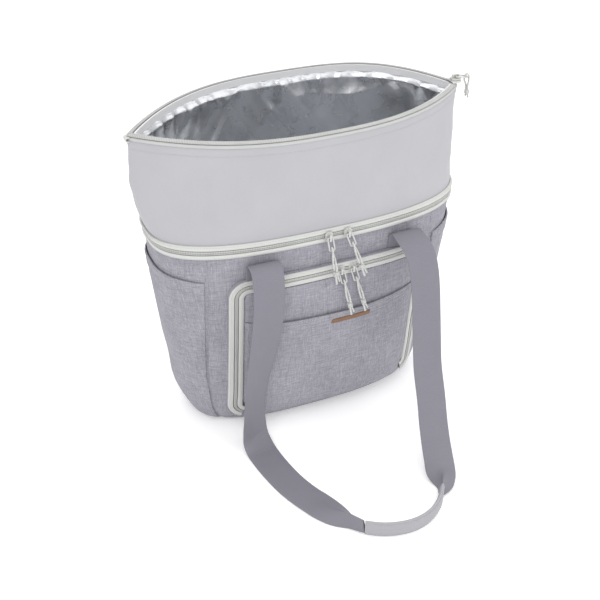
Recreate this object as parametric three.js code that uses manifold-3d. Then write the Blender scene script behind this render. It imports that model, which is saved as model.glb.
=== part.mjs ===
// Dual-compartment insulated tote: an upper compartment with a long zipped mouth that tilts back
// on a rear fabric hinge, over a tapered lower compartment with a zipped front pocket.
// Millimetres, +Z up. The origin is the centre of the base on the floor and the front faces -Y.
import * as THREE from 'three';
import { mergeVertices } from 'three/addons/utils/BufferGeometryUtils.js';
import Module from 'manifold-3d';

const wasm = await Module();
wasm.setup();

// driving dimensions
const GAP = 0.3; // clearance between pieces that touch
const FABRIC = 1.2; // outer cloth
const LINER = 0.8; // foil liner
const FOAM = 5; // insulation
const HALF_WIDTH = 192; // at the middle zip
const MOUTH_REACH = 205; // half width between the two mouth tips
const MOUTH_SHIFT = 1; // the mouth leans this far to the left
const LEFT_SWELL = 6; // how far the left side swells between the zip and the tip
const ZIP_Z = 269.5; // height of the middle zip
const MID_DEPTH = 82; // half depth at the middle zip
const CORNER = 2.8; // exponent of the rounded section
const RIM_Z = 390.2; // top of the wall cloth
const LENS_Z = 396; // height where the section is a pure lens
const MOUTH_FRONT = 79; // bow of the mouth's front edge
const MOUTH_BACK = 100; // bow of the mouth's back edge
const LENS_POWER = { front: 2.4, backLeft: 2.5, backRight: 4 }; // how square each quarter of the mouth is
const BAND = 8.5; // half height of the middle zip band
const SEAM_X = 143; // front and back panels' half width
const WEB = 38; // webbing width
const WEB_T = 1.6; // webbing thickness
const ANCHOR_X = 91; // strap anchors, each this far from the pocket's middle
const FOLD_Z = 253; // top of the strap folds
const FOLD_Y = 90.5;
const POCKET_X = 129.5; // half width of the zipped front pocket
const POCKET_MID = 6.5; // its middle lies this far right of the bag's
const POCKET_TOP = 230;
const POCKET_BOTTOM = 17;
const TIP_DROP = 7; // how far the mouth's right tip hangs below its left tip

const paint = (color, roughness, metalness = 0) => new THREE.MeshStandardMaterial({ color, roughness, metalness });
const coated = paint(0xc8c8cc, 0.7);
const heather = paint(0xa4a3ab, 0.9);
const tape = paint(0xdcddd8, 0.8);
const coilMat = paint(0x5a5a5e, 0.6);
const foil = paint(0xc4c6ca, 0.3, 0.8);
const foamMat = paint(0xe8e8e4, 0.9);
const boardMat = paint(0x8c8c90, 0.8);
const webbing = paint(0x8e8d95, 0.8);
const gripMat = paint(0xc0c0c4, 0.8);
const leather = paint(0x825a3c, 0.7);
const metal = paint(0xc2c4c6, 0.4, 0.7);
const cordMat = paint(0xd8d8d2, 0.85);

const lerp = (a, b, u) => a + (b - a) * u;
const span = (n, f) => Array.from({ length: n + 1 }, (_, i) => f(i / n, i));
const table = (rows, z) => {
  let i = 0;
  while (i < rows.length - 2 && z > rows[i + 1][0]) i += 1;
  const [[z0, a], [z1, b]] = [rows[i], rows[i + 1]];
  return lerp(a, b, (z - z0) / (z1 - z0));
};

// ---- lower body section ----
const WIDTHS = [[0, 140], [8, 151], [22, 158], [45, 166], [90, 173.5], [140, 179.5], [200, 186], [269.5, HALF_WIDTH]];
const DEPTHS = [[0, 58], [8, 65], [22, 68], [45, 70], [90, 72], [140, 75], [200, 78.5], [269.5, MID_DEPTH]];
const SEAMS = [[0, 122], [22, 134], [45, 139], [90, 143], [269.5, SEAM_X]];
const widthAt = (z, inset = 0) => table(WIDTHS, z) - inset;
const depthAt = (z, inset = 0) => table(DEPTHS, z) - inset;
const faceY = (x, z, inset = 0) => {
  const u = Math.min(Math.abs(x) / widthAt(z, inset), 0.9999);
  return depthAt(z, inset) * (1 - u ** CORNER) ** (1 / CORNER);
};
const power = (v, e) => Math.sign(v) * Math.abs(v) ** e;
const around = (angle, z, inset = 0) => [
  widthAt(z, inset) * power(Math.cos(angle), 2 / CORNER),
  depthAt(z, inset) * power(Math.sin(angle), 2 / CORNER),
  z,
];
const seamAngle = (z, inset = 0) => Math.acos((table(SEAMS, z) / widthAt(z, inset)) ** (CORNER / 2));

// ---- upper body section, from the rounded section to the pointed lens ----
const tipDrop = (x, u) => TIP_DROP * (Math.max(x, 0) / MOUTH_REACH) ** 2 * u ** 2;
const upperAt = (angle, z, inset = 0) => {
  const u = Math.min(Math.max((z - ZIP_Z) / (LENS_Z - ZIP_Z), 0), 1);
  const [c, s] = [Math.cos(angle), Math.sin(angle)];
  const roundX = (HALF_WIDTH - inset) * power(c, 2 / CORNER);
  const roundY = (MID_DEPTH - inset) * power(s, 2 / CORNER);
  const bow = (s < 0 ? MOUTH_FRONT : MOUTH_BACK) - inset;
  const reach = MOUTH_REACH - 2 * inset;
  const lensX = reach * power(c, 0.8);
  const backPower = c < 0 ? LENS_POWER.backLeft : LENS_POWER.backRight;
  const lensY = Math.sign(s) * bow * (1 - Math.abs(lensX / reach) ** (s < 0 ? LENS_POWER.front : backPower));
  const swell = LEFT_SWELL * Math.sin(Math.PI * u) * Math.max(-c, 0) ** 4;
  const x = lerp(roundX, lensX - MOUTH_SHIFT, u) - swell;
  return [x, lerp(roundY, lensY, u), z - tipDrop(x, u)];
};

// ---- solids ----
// A closed body between two grids of points that match one to one; loop joins the last column to the first.
function thick(outer, inner, loop = false) {
  const [rows, cols] = [outer.length, outer[0].length];
  const points = [...outer.flat(), ...inner.flat()];
  const index = [];
  const at = (side, i, j) => side * rows * cols + (i % rows) * cols + j;
  const quad = (a, b, c, d) => index.push(a, b, c, a, c, d);
  const last = loop ? rows : rows - 1;
  for (let i = 0; i < last; i += 1) {
    for (let j = 0; j < cols - 1; j += 1) {
      quad(at(0, i, j), at(0, i + 1, j), at(0, i + 1, j + 1), at(0, i, j + 1));
      quad(at(1, i, j), at(1, i, j + 1), at(1, i + 1, j + 1), at(1, i + 1, j));
    }
    quad(at(0, i, 0), at(1, i, 0), at(1, i + 1, 0), at(0, i + 1, 0));
    quad(at(0, i, cols - 1), at(0, i + 1, cols - 1), at(1, i + 1, cols - 1), at(1, i, cols - 1));
  }
  if (!loop) {
    for (let j = 0; j < cols - 1; j += 1) {
      quad(at(0, 0, j), at(0, 0, j + 1), at(1, 0, j + 1), at(1, 0, j));
      quad(at(0, rows - 1, j), at(1, rows - 1, j), at(1, rows - 1, j + 1), at(0, rows - 1, j + 1));
    }
  }
  return solid(points, index);
}
// A cup: two looped grids joined at their tops, each closed by a fan at its own bottom.
function cup(outer, inner) {
  const [rows, cols] = [outer.length, outer[0].length];
  const points = [...outer.flat(), ...inner.flat()];
  const index = [];
  const at = (side, i, j) => side * rows * cols + (i % rows) * cols + j;
  const quad = (a, b, c, d) => index.push(a, b, c, a, c, d);
  for (let i = 0; i < rows; i += 1) {
    for (let j = 0; j < cols - 1; j += 1) {
      quad(at(0, i, j), at(0, i + 1, j), at(0, i + 1, j + 1), at(0, i, j + 1));
      quad(at(1, i, j), at(1, i, j + 1), at(1, i + 1, j + 1), at(1, i + 1, j));
    }
    quad(at(0, i, cols - 1), at(0, i + 1, cols - 1), at(1, i + 1, cols - 1), at(1, i, cols - 1));
  }
  const middle = points.length;
  points.push([0, 0, outer[0][0][2]], [0, 0, inner[0][0][2]]);
  for (let i = 0; i < rows; i += 1) {
    index.push(middle, at(0, i + 1, 0), at(0, i, 0));
    index.push(middle + 1, at(1, i, 0), at(1, i + 1, 0));
  }
  return solid(points, index);
}
function solid(points, index) {
  const geometry = new THREE.BufferGeometry();
  geometry.setAttribute('position', new THREE.Float32BufferAttribute(points.flat(), 3));
  geometry.setIndex(index);
  // outward faces give a positive enclosed volume
  let volume = 0;
  const [a, b, c] = [new THREE.Vector3(), new THREE.Vector3(), new THREE.Vector3()];
  for (let i = 0; i < index.length; i += 3) {
    a.set(...points[index[i]]);
    b.set(...points[index[i + 1]]);
    c.set(...points[index[i + 2]]);
    volume += a.dot(b.cross(c));
  }
  if (volume < 0) {
    for (let i = 0; i < index.length; i += 3) [index[i + 1], index[i + 2]] = [index[i + 2], index[i + 1]];
    geometry.setIndex(index);
  }
  geometry.computeVertexNormals();
  return geometry;
}
// A flat disc with rounded outline between two heights.
function plate(ring, z0, z1) {
  const shape = new THREE.Shape(ring.map(([x, y]) => new THREE.Vector2(x, y)));
  const geometry = new THREE.ExtrudeGeometry(shape, { depth: z1 - z0, bevelEnabled: false, steps: 1 });
  return geometry.translate(0, 0, z0);
}
// A ribbon along a path: each stop is [centre, width direction, width, thickness].
function ribbon(stops) {
  const path = stops.map(([p]) => new THREE.Vector3(...p));
  const outer = [];
  const inner = [];
  stops.forEach(([, across, width, depth], i) => {
    const along = path[Math.min(i + 1, path.length - 1)].clone().sub(path[Math.max(i - 1, 0)]).normalize();
    const side = new THREE.Vector3(...across).addScaledVector(along, -along.dot(new THREE.Vector3(...across)));
    side.normalize();
    const face = new THREE.Vector3().crossVectors(side, along).normalize();
    const corner = (s, f) => path[i].clone().addScaledVector(side, (s * width) / 2)
      .addScaledVector(face, (f * depth) / 2).toArray();
    outer.push([corner(-1, 1), corner(1, 1)]);
    inner.push([corner(-1, -1), corner(1, -1)]);
  });
  return thick(outer, inner);
}
function toSolid(geometry) {
  const bare = geometry.clone();
  bare.deleteAttribute('normal');
  bare.deleteAttribute('uv');
  const merged = mergeVertices(bare, 1e-4);
  const vertProperties = Float32Array.from(merged.attributes.position.array);
  return new wasm.Manifold(new wasm.Mesh({ numProp: 3, vertProperties, triVerts: Uint32Array.from(merged.index.array) }));
}
function fromSolid(body) {
  const mesh = body.getMesh();
  const geometry = new THREE.BufferGeometry();
  geometry.setAttribute('position', new THREE.Float32BufferAttribute(mesh.vertProperties, 3));
  geometry.setIndex(Array.from(mesh.triVerts));
  geometry.computeVertexNormals();
  return geometry;
}
const join = (...parts) => fromSolid(parts.map(toSolid).reduce((a, b) => a.add(b)));

const bag = new THREE.Group();
function put(name, geometry, material, parent = bag) {
  const mesh = new THREE.Mesh(geometry, material);
  mesh.name = name;
  parent.add(mesh);
  return mesh;
}

// ---- lower compartment ----
const WALL_TOP = ZIP_Z - 0.7;
const LEVELS = [1.4, 8, 22, 45, 90, 140, 200, WALL_TOP];
const turn = (n, f) => Array.from({ length: n }, (_, i) => f((2 * Math.PI * i) / n));

function facePanel(side) {
  const grid = (inset) => span(14, (u) => LEVELS.map((z) => {
    const x = lerp(-1, 1, u) * (table(SEAMS, z) - GAP / 2);
    return [x, side * faceY(x, z, inset), z];
  }));
  return thick(grid(0), grid(FABRIC));
}
function sidePanel(side) {
  const grid = (inset) => span(16, (u) => LEVELS.map((z) => {
    const edge = seamAngle(z, inset) - GAP / widthAt(z);
    const [x, y] = around(lerp(-edge, edge, u), z, inset);
    return [side * x, y, z];
  }));
  return thick(grid(0), grid(FABRIC));
}
put('lower_front_panel', facePanel(-1), heather);
put('lower_back_panel', facePanel(1), heather);
put('lower_left_panel', sidePanel(-1), heather);
put('lower_right_panel', sidePanel(1), heather);
put('base_panel', plate(turn(40, (a) => around(a, 0.5).slice(0, 2)), 0, 1.1), heather);

const foamIn = FABRIC + 0.9; // room for the flats of the faceted cloth
const linerIn = foamIn + FOAM + GAP;
const shellGrid = (inset, floor) => turn(32, (a) => (
  [floor, 22, 90, WALL_TOP].map((z) => around(a, z, inset + (z === floor ? 1 : 0)))
));
put('lower_insulation', cup(shellGrid(foamIn, 1.7), shellGrid(foamIn + FOAM, 6.7)), foamMat);
put('lower_liner', cup(shellGrid(linerIn, 7), shellGrid(linerIn + LINER, 7.8)), foil);
const boardRing = turn(32, (a) => around(a, 8, linerIn + LINER + 4.5).slice(0, 2));
put('base_board', plate(boardRing, 8.1, 10.1), boardMat);

// slip pockets on both sides, with a curved mouth
function slipSide(side) {
  const grid = (offset) => span(16, (u) => {
    const hem = 228 + 7 * Math.sin(Math.PI * u);
    return [8, 22, 45, 90, 140, 200, hem].map((z) => {
      const edge = seamAngle(z) - 0.03;
      const swell = 1.6 * Math.sin(Math.PI * u) ** 0.6 * (z / hem) ** 6;
      const [x, y] = around(lerp(-edge, edge, u), z, -(offset + swell));
      return [side * x, y, z];
    });
  });
  return thick(grid(1.8), grid(0.8));
}
put('left_slip_pocket', slipSide(-1), heather);
put('right_slip_pocket', slipSide(1), heather);

// ---- middle zip: a band round the front and sides, and a cloth hinge behind ----
const STEP = Math.PI / 24;
const BACK_EDGE = 7 * STEP; // angle where the zip stops behind each side
const strip = (section, steps, start, [low, high], [from, to]) => {
  const grid = (offset) => span(steps, (u, i) => [low, high].map((z) => section(start + i * STEP, z, -offset)));
  return thick(grid(to), grid(from));
};
const zipStrip = (section, heights, offsets) => strip(section, 38, -Math.PI - BACK_EDGE, heights, offsets);
const hingeStrip = (section, heights) => strip(section, 8, BACK_EDGE + STEP, heights, [0.8, 1.8]);
const TAPE_OUT = [0.8, 2.2];
const COIL_OUT = [0.8, 3];
put('mid_zip_tape_lower', zipStrip(around, [ZIP_Z - BAND, ZIP_Z - 1.6], TAPE_OUT), tape);
put('mid_zip_coil_lower', zipStrip(around, [ZIP_Z - 1.3, ZIP_Z - 0.2], COIL_OUT), coilMat);
put('hinge_cloth_lower', hingeStrip(around, [ZIP_Z - BAND, ZIP_Z - 0.5]), heather);

// ---- upper compartment ----
const UPPER_LEVELS = [ZIP_Z + 0.7, 300, 330, 360, RIM_Z];
function upperPanel(side) {
  const grid = (inset) => span(24, (u) => UPPER_LEVELS.map((z) => {
    const [x, y, height] = upperAt(side * Math.PI * u, z, inset);
    return [x, side * Math.max(Math.abs(y), GAP / 2), height];
  }));
  return thick(grid(0), grid(FABRIC));
}
put('upper_front_panel', upperPanel(-1), coated);
put('upper_back_panel', upperPanel(1), coated);
const foamDepth = (z) => (z < 350 ? FOAM : lerp(FOAM, 1.2, (z - 350) / (RIM_Z - 350)));
const upperTube = (levels, inset) => turn(48, (a) => levels.map((z) => upperAt(a + 0.0001, z, inset(z))));
const FLOOR_Z = ZIP_Z + 1.2;
put('upper_insulation', cup(
  upperTube([FLOOR_Z + 2.3, 350, RIM_Z], () => foamIn + 0.5),
  upperTube([FLOOR_Z + 6.3, 350, RIM_Z], (z) => foamIn + foamDepth(z)),
), foamMat);
const linerInset = (z) => foamIn + foamDepth(z) + GAP;
put('upper_liner', cup(
  upperTube([FLOOR_Z + 6.6, 350, RIM_Z], linerInset),
  upperTube([FLOOR_Z + 7.4, 350, RIM_Z], (z) => linerInset(z) + LINER),
), foil);
put('upper_floor', plate(turn(32, (a) => upperAt(a, FLOOR_Z, foamIn).slice(0, 2)), FLOOR_Z, FLOOR_Z + 2), coated);
put('mid_zip_tape_upper', zipStrip(upperAt, [ZIP_Z + 1.6, ZIP_Z + BAND], TAPE_OUT), tape);
put('mid_zip_coil_upper', zipStrip(upperAt, [ZIP_Z + 0.2, ZIP_Z + 1.3], COIL_OUT), coilMat);
put('hinge_cloth_upper', hingeStrip(upperAt, [ZIP_Z + 0.5, ZIP_Z + BAND]), coated);

// mouth zip: a tape and a coil on each long edge
function rimStrip(side, low, high, from, to) {
  const grid = (inset) => span(24, (u) => [low, high].map((z) => {
    const [x, y, height] = upperAt(side * lerp(0.02, Math.PI - 0.02, u), RIM_Z, inset);
    return [x, side * Math.max(Math.abs(y), 0.3), z + height - RIM_Z];
  }));
  return thick(grid(from), grid(to));
}
const RIM_TOP = RIM_Z + 6.3;
for (const [name, side] of [['front', -1], ['back', 1]]) {
  put(`mouth_tape_${name}`, rimStrip(side, RIM_Z + GAP, RIM_TOP, 0, 3.6), tape);
  put(`mouth_coil_${name}`, rimStrip(side, RIM_TOP + GAP, RIM_TOP + 1.8, 1, 2.4), coilMat);
}

// a folded cloth end on the left tip, and the zip's tail over the right tip
const TIP_FOLD = { reach: 3, wide: 9, high: 5 };
const foldX = -MOUTH_REACH - MOUTH_SHIFT - 0.6 - TIP_FOLD.reach / 2;
put('mouth_tab', new THREE.BoxGeometry(TIP_FOLD.reach, TIP_FOLD.wide, TIP_FOLD.high).translate(foldX, 0, RIM_Z + 2), coated);
const TAIL_TOP = RIM_TOP + 1.9 - 0.52 * TIP_DROP; // the tail lies over the ends of both rims
const TAIL_X = MOUTH_REACH - MOUTH_SHIFT - 3;
put('mouth_zip_tail', new THREE.BoxGeometry(14, 15, 1.6).translate(TAIL_X, 0, TAIL_TOP - 0.8), tape);

// ---- front pocket: a raised inverted-U zip round a bowed panel ----
const outline = (() => {
  const half = [];
  for (const z of [40, 90, 140, 200]) half.push([POCKET_X, z, 1, 0]);
  const bend = (r, cz, from, to, n) => span(n, (u) => {
    const a = lerp(from, to, u);
    half.push([POCKET_X - r + r * Math.cos(a), cz + r * Math.sin(a), Math.cos(a), Math.sin(a)]);
  });
  bend(24, POCKET_TOP - 24, 0, Math.PI / 2, 5);
  for (const x of [66, 33]) half.push([x, POCKET_TOP, 0, 1]);
  const low = span(3, (u) => {
    const a = lerp(-1.25, -0.1, u);
    return [POCKET_X - 22 + 22 * Math.cos(a), POCKET_BOTTOM + 22 + 22 * Math.sin(a), Math.cos(a), Math.sin(a)];
  });
  const right = [...low, ...half];
  const left = right.map(([x, z, nx, nz]) => [-x, z, -nx, nz]).reverse();
  return [...right, [0, POCKET_TOP, 0, 1], ...left].map(([x, z, nx, nz]) => [x + POCKET_MID, z, nx, nz]);
})();
const surface = (x, z, offset) => [x, -(faceY(x, z) + offset), z];
function pocketStrip([s0, s1], [o0, o1]) {
  const grid = (offset) => outline.map(([x, z, nx, nz]) => (
    [s0, s1].map((s) => surface(x - nx * s, z - nz * s, offset))
  ));
  return thick(grid(o1), grid(o0));
}
put('pocket_gusset', pocketStrip([0, 1.4], [0.8, 5.4]), heather);
put('pocket_tape_outer', pocketStrip([0, 6.8], [5.7, 7.1]), tape);
put('pocket_coil_outer', pocketStrip([7.1, 8.2], [5.7, 7.9]), coilMat);
put('pocket_coil_inner', pocketStrip([8.6, 9.7], [5.7, 7.9]), coilMat);
put('pocket_tape_inner', pocketStrip([10, 16.8], [5.7, 7.1]), tape);
const PANEL_X = POCKET_X - 17.2;
const PANEL_Z = [POCKET_BOTTOM + 5, 34, 60, 95, 130, 160, 185, 204.5, 209, POCKET_TOP - 17.6];
const panelHalf = (z) => {
  const over = Math.max(z - (POCKET_TOP - 25.5), 0);
  const low = table([[22, PANEL_X - 6.8], [34, PANEL_X - 4.8], [46, PANEL_X], [300, PANEL_X]], z);
  return low - (9 - Math.sqrt(Math.max(81 - over * over, 0)));
};
const bow = (u, z) => {
  const v = (z - PANEL_Z[0]) / (PANEL_Z.at(-1) - PANEL_Z[0]);
  return 7 * (1 - (2 * u - 1) ** 4) * (1 - (2 * v - 1) ** 4);
};
function pocketSheet(levels, offset, depth, swell = () => 0, half = panelHalf) {
  const grid = (extra) => span(12, (u) => levels(u).map((z) => (
    surface(POCKET_MID + lerp(-1, 1, u) * half(z), z, offset + extra + bow(u, z) + swell(u, z))
  )));
  return thick(grid(depth), grid(0));
}
put('pocket_panel', pocketSheet(() => PANEL_Z, 5.7, 1.4), heather);
const hemAt = (u) => 166 + 6 * (2 * u - 1) ** 2;
const slipLevels = (u) => [...PANEL_Z.slice(0, 5), hemAt(u)];
const slipSwell = (u, z) => 3.2 * Math.sin(Math.PI * u) ** 0.7 * (z / hemAt(u)) ** 7;
put('front_slip_pocket', pocketSheet(slipLevels, 7.9, 1.1, slipSwell, (z) => panelHalf(z) - 1), heather);
const tagGrid = (extra) => span(4, (u) => [151.5, 158].map((z) => {
  const x = lerp(0, 51, u);
  const share = ((x - POCKET_MID) / (PANEL_X - 1) + 1) / 2;
  return surface(x, z, 10.4 + extra + bow(share, z) + slipSwell(share, z));
}));
put('leather_tag', thick(tagGrid(1.2), tagGrid(0)), leather);

// ---- zip sliders, pullers and cords ----
// In its own frame a slider's back lies on y = 0, it faces -Y, and its pull hangs to -Z from PIVOT.
const PIVOT = -4;
const extrude = (points, holes, depth) => {
  const shape = new THREE.Shape(points.map(([x, y]) => new THREE.Vector2(x, y)));
  for (const hole of holes) shape.holes.push(new THREE.Path(hole.map(([x, y]) => new THREE.Vector2(x, y))));
  return new THREE.ExtrudeGeometry(shape, { depth, bevelEnabled: false });
};
const DECK = [[-4.5, -5.5], [4.5, -5.5], [5, 2.5], [3, 6], [-3, 6], [-5, 2.5]];
const ARCH = [[-4.8, 1.6], [4.8, 1.6], [4.2, 6.2], [-4.2, 6.2]];
const EYE = [[-3.7, 2.6], [-3.1, 5.3], [3.1, 5.3], [3.7, 2.6]];
function sliderGeometry() {
  const deck = extrude(DECK, [], 1.8).rotateX(Math.PI / 2);
  const arch = extrude(ARCH, [EYE], 2.2).translate(0, 0, -1.1);
  arch.applyMatrix4(new THREE.Matrix4().set(0, 0, 1, 0, 0, -1, 0, 0, 1, 0, 0, 0, 0, 0, 0, 1));
  return join(deck, arch);
}
function pullerGeometry() {
  const frame = [[-3.4, 0.9], [3.4, 0.9], [4, -2], [4, -15.5], [2.6, -17], [-2.6, -17], [-4, -15.5], [-4, -2]];
  const slot = [[-2.6, -0.8], [-2.6, -15.4], [2.6, -15.4], [2.6, -0.8]];
  return extrude(frame, [slot], 1.4).rotateX(Math.PI / 2).translate(0, PIVOT + 0.7, 0);
}
const HANG = [
  [-1.5, -4, -47], [-1.5, -4.4, -32], [-1, -6.6, -20], [-0.3, -6.8, -15.5], [0, -4, -12.8],
  [0.3, -1.2, -15.5], [1, -1.4, -20], [1.5, -3.6, -32], [1.5, -4, -47],
];
function cordGeometry(bend) {
  const path = new THREE.CatmullRomCurve3(HANG.map((p) => new THREE.Vector3(...bend(p))), false, 'centripetal');
  const ring = new THREE.Shape(span(7, (u, i) => {
    const a = (2 * Math.PI * i) / 8;
    return new THREE.Vector2(1.2 * Math.cos(a), 1.2 * Math.sin(a));
  }));
  const tube = new THREE.ExtrudeGeometry(ring, { steps: 17, extrudePath: path, bevelEnabled: false });
  const [above, below] = [-52, -56].map((z) => new THREE.Vector3(...bend([0, PIVOT, z])));
  const turnDown = new THREE.Quaternion().setFromUnitVectors(new THREE.Vector3(0, 0, -1), below.sub(above).normalize());
  const knot = new THREE.SphereGeometry(1, 8, 6).scale(3, 3, 4.4).applyQuaternion(turnDown);
  const ends = new THREE.CylinderGeometry(1.9, 1.6, 8, 8).rotateX(Math.PI / 2).applyQuaternion(turnDown);
  return join(tube, knot.translate(...bend([0, PIVOT, -49])), ends.translate(...bend([0, PIVOT, -55])));
}
function pull(name, group, tilt, lean, bend = (p) => p) {
  put(`${name}_slider`, sliderGeometry(), metal, group);
  const swing = new THREE.Group();
  swing.position.set(0, PIVOT, 0);
  swing.rotation.set(tilt, lean, 0, 'YXZ');
  group.add(swing);
  const hung = new THREE.Group();
  hung.position.set(0, -PIVOT, 0);
  swing.add(hung);
  put(`${name}_puller`, pullerGeometry(), metal, hung);
  put(`${name}_cord`, cordGeometry(bend), cordMat, hung);
}
function onBand(x, z, offset) {
  const group = new THREE.Group();
  group.position.set(x, -(faceY(x, z) + offset), z);
  bag.add(group);
  return group;
}
const FORWARD = -0.17; // pulls lean forward over what lies below them
pull('mid_left', onBand(-3, ZIP_Z, 3.4), FORWARD, -0.12);
pull('mid_right', onBand(21, ZIP_Z, 3.4), FORWARD, -0.33);
pull('pocket_left', onBand(12, POCKET_TOP - 8.4, 8.3), FORWARD, -0.2);
pull('pocket_right', onBand(27.5, POCKET_TOP - 8.4, 8.3), FORWARD, -0.25);
const topZip = new THREE.Group();
topZip.position.set(TAIL_X, 0, TAIL_TOP + GAP);
topZip.rotation.setFromRotationMatrix(new THREE.Matrix4().set(0, 0, -1, 0, 1, 0, 0, 0, 0, -1, 0, 0, 0, 0, 0, 1));
bag.add(topZip);
// the mouth's cord turns round the end bar of its puller and hangs straight down
const [BAR_Z, DROOP, SHORTER] = [-16.2, 1.25, 0.6];
const droop = ([x, y, z]) => {
  const [dy, dz] = [y - PIVOT, z < BAR_Z - 4 ? (z - BAR_Z + 4) * SHORTER - 4 : z - BAR_Z];
  return [x, PIVOT + dy * Math.cos(DROOP) - dz * Math.sin(DROOP), BAR_Z + dy * Math.sin(DROOP) + dz * Math.cos(DROOP)];
};
pull('mouth', topZip, 0.2, 0, droop);

// ---- carrying straps: each leg folds over its anchor, and a folded sleeve joins the two legs ----
const SIDE = [1, 0, 0];
const UP = [0, 0, 1];
const flat = (rows) => rows.map(([x, y, z, across = SIDE, width = WEB, depth = WEB_T]) => [[x, y, z], across, width, depth]);
const LEG_Y = -FOLD_Y - 1.9; // each leg starts this far out, clear of its anchor's fold
const leftLeg = flat([
  [-84.5, LEG_Y, FOLD_Z], [-84.5, -97, FOLD_Z - 2], [-84.8, -102.5, 244], [-85.3, -107, 225], [-87, -109, 195],
  [-92.5, -108.5, 150, [1, 0.15, 0]], [-99.5, -105, 100, [1, 0.35, 0]], [-102.5, -101, 55, [1, 0.5, 0]],
  [-103, -100, 28, [1, 0.4, 0]], [-102.5, -103.5, 10, [1, 0.25, 0]], [-101.5, -115, 2.8, [1, 0.1, 0]],
  [-99.8, -133, 1.2, [1, 0.12, 0]], [-97, -154, 1.2, [1, 0.24, 0]], [-88.5, -192, 1.2, [1, 0.46, 0]],
  [-74, -228, 3, [1, 0.5, 0.1]], [-62, -252, 8, [0.8, 0.6, 0.45], 34, 1.8],
  [-53.5, -271, 12.8, [0.4, 0.4, 1], 24, 2.4], [-46.8, -285.6, 11.2, UP, 20, 3.2],
]);
const rightLeg = flat([
  [97.5, LEG_Y, FOLD_Z], [97.5, -99, FOLD_Z - 2], [100, -109, 246], [102.5, -118, 236], [103, -127.5, 219],
  [102, -136, 198], [100, -145, 172], [97, -156, 143], [94.3, -168, 110], [91.2, -187, 78], [86.8, -207, 46],
  [82.5, -226, 24, [1, 0, 0.1]], [78.5, -242, 14, [1, 0, 0.6], 33, 1.8], [72.5, -256, 13.4, [0.5, 0, 1], 24, 2.4],
  [67.2, -267, 11.2, UP, 20, 3.2],
]);
const sleeve = [
  [-43.6, -288.4, 11], [-30, -296.5, 11], [-8, -304, 11], [14, -305, 11], [34, -299, 11], [50, -288, 11], [64.8, -270.6, 11],
].map((p) => [p, UP, 21, 6]);
function anchor(side) {
  const x = POCKET_MID + side * ANCHOR_X;
  const y = -(faceY(Math.abs(x) - WEB / 2, 245) + 0.4 + WEB_T / 2);
  return ribbon(flat([
    [x, y, POCKET_TOP + 1], [x, y, 246], [x, y - 1.6, 250], [x, y - 4.6, FOLD_Z - 0.4], [x, -FOLD_Y, FOLD_Z],
  ]));
}
for (const [name, turned] of [['front', 0], ['rear', Math.PI]]) {
  const group = new THREE.Group();
  group.rotation.z = turned;
  bag.add(group);
  put(`${name}_anchor_left`, anchor(-1), webbing, group);
  put(`${name}_anchor_right`, anchor(1), webbing, group);
  put(`${name}_strap_left`, ribbon(leftLeg), webbing, group);
  put(`${name}_strap_right`, ribbon(rightLeg), webbing, group);
  put(`${name}_grip`, ribbon(sleeve), gripMat, group);
}

export default bag;
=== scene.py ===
"""Insulated cooler bag: cloth, foil, zips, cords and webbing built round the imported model.
Shapes are worked out in millimetres and scaled by MM when a mesh is made. +Z is up, the front faces -Y."""
import math

import bpy
import numpy as np
from mathutils import Matrix, Vector


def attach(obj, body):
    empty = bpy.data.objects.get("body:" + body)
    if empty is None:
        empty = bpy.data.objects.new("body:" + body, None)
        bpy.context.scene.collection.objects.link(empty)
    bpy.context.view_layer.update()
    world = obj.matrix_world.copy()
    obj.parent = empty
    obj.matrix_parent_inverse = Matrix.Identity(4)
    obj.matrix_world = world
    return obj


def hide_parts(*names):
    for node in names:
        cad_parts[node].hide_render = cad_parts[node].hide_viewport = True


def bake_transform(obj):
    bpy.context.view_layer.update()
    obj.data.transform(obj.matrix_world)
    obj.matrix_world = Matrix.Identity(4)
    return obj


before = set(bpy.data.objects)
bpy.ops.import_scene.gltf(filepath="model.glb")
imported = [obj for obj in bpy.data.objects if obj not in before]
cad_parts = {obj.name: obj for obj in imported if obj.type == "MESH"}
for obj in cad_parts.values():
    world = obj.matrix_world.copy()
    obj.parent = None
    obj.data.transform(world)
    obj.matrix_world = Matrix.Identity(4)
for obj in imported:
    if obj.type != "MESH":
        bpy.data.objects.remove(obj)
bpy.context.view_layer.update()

MM = 0.001
LOWER, UPPER = "lower_compartment", "upper_compartment"

# ---- driving dimensions of the shell, as in the part ----
HALF_WIDTH, MID_DEPTH, CORNER = 192, 82, 2.8
MOUTH_REACH, MOUTH_SHIFT, LEFT_SWELL = 205, 1, 6
ZIP_Z, RIM_Z, LENS_Z = 269.5, 390.2, 396
MOUTH_FRONT, MOUTH_BACK, TIP_DROP = 79, 100, 7
FRONT_POWER, BACK_LEFT_POWER, BACK_RIGHT_POWER = 2.4, 2.5, 4
LENS_SPREAD = 0.8  # below 1, the mouth's columns crowd less at its tips
WEB, WEB_T, ANCHOR_X, FOLD_Z, FOLD_Y = 38, 1.6, 91, 253, 90.5
LEG_Y = FOLD_Y + 1.9
POCKET_X, POCKET_MID, POCKET_TOP, POCKET_BOTTOM = 129.5, 6.5, 230, 17
SEAM_X = 143
LINER_IN = 7.4  # how far the foil lies inside the cloth
CLOTH_T, FOIL_T, FOAM_T = 1.2, 0.6, 4.6
LEVEL = np.array([1, 1, 0])  # drops a point's height
CENTRE = 0.0008  # the innermost ring of a flat floor, as a share of its outline


# ---- curves ----
def hermite(t, a, b, rise_a, rise_b):
    """A cubic from a to b while t runs from 0 to 1, with its slope at both ends."""
    near = (2 * t**3 - 3 * t**2 + 1) * a + (t**3 - 2 * t**2 + t) * rise_a
    return near + (3 * t**2 - 2 * t**3) * b + (t**3 - t**2) * rise_b


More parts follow.
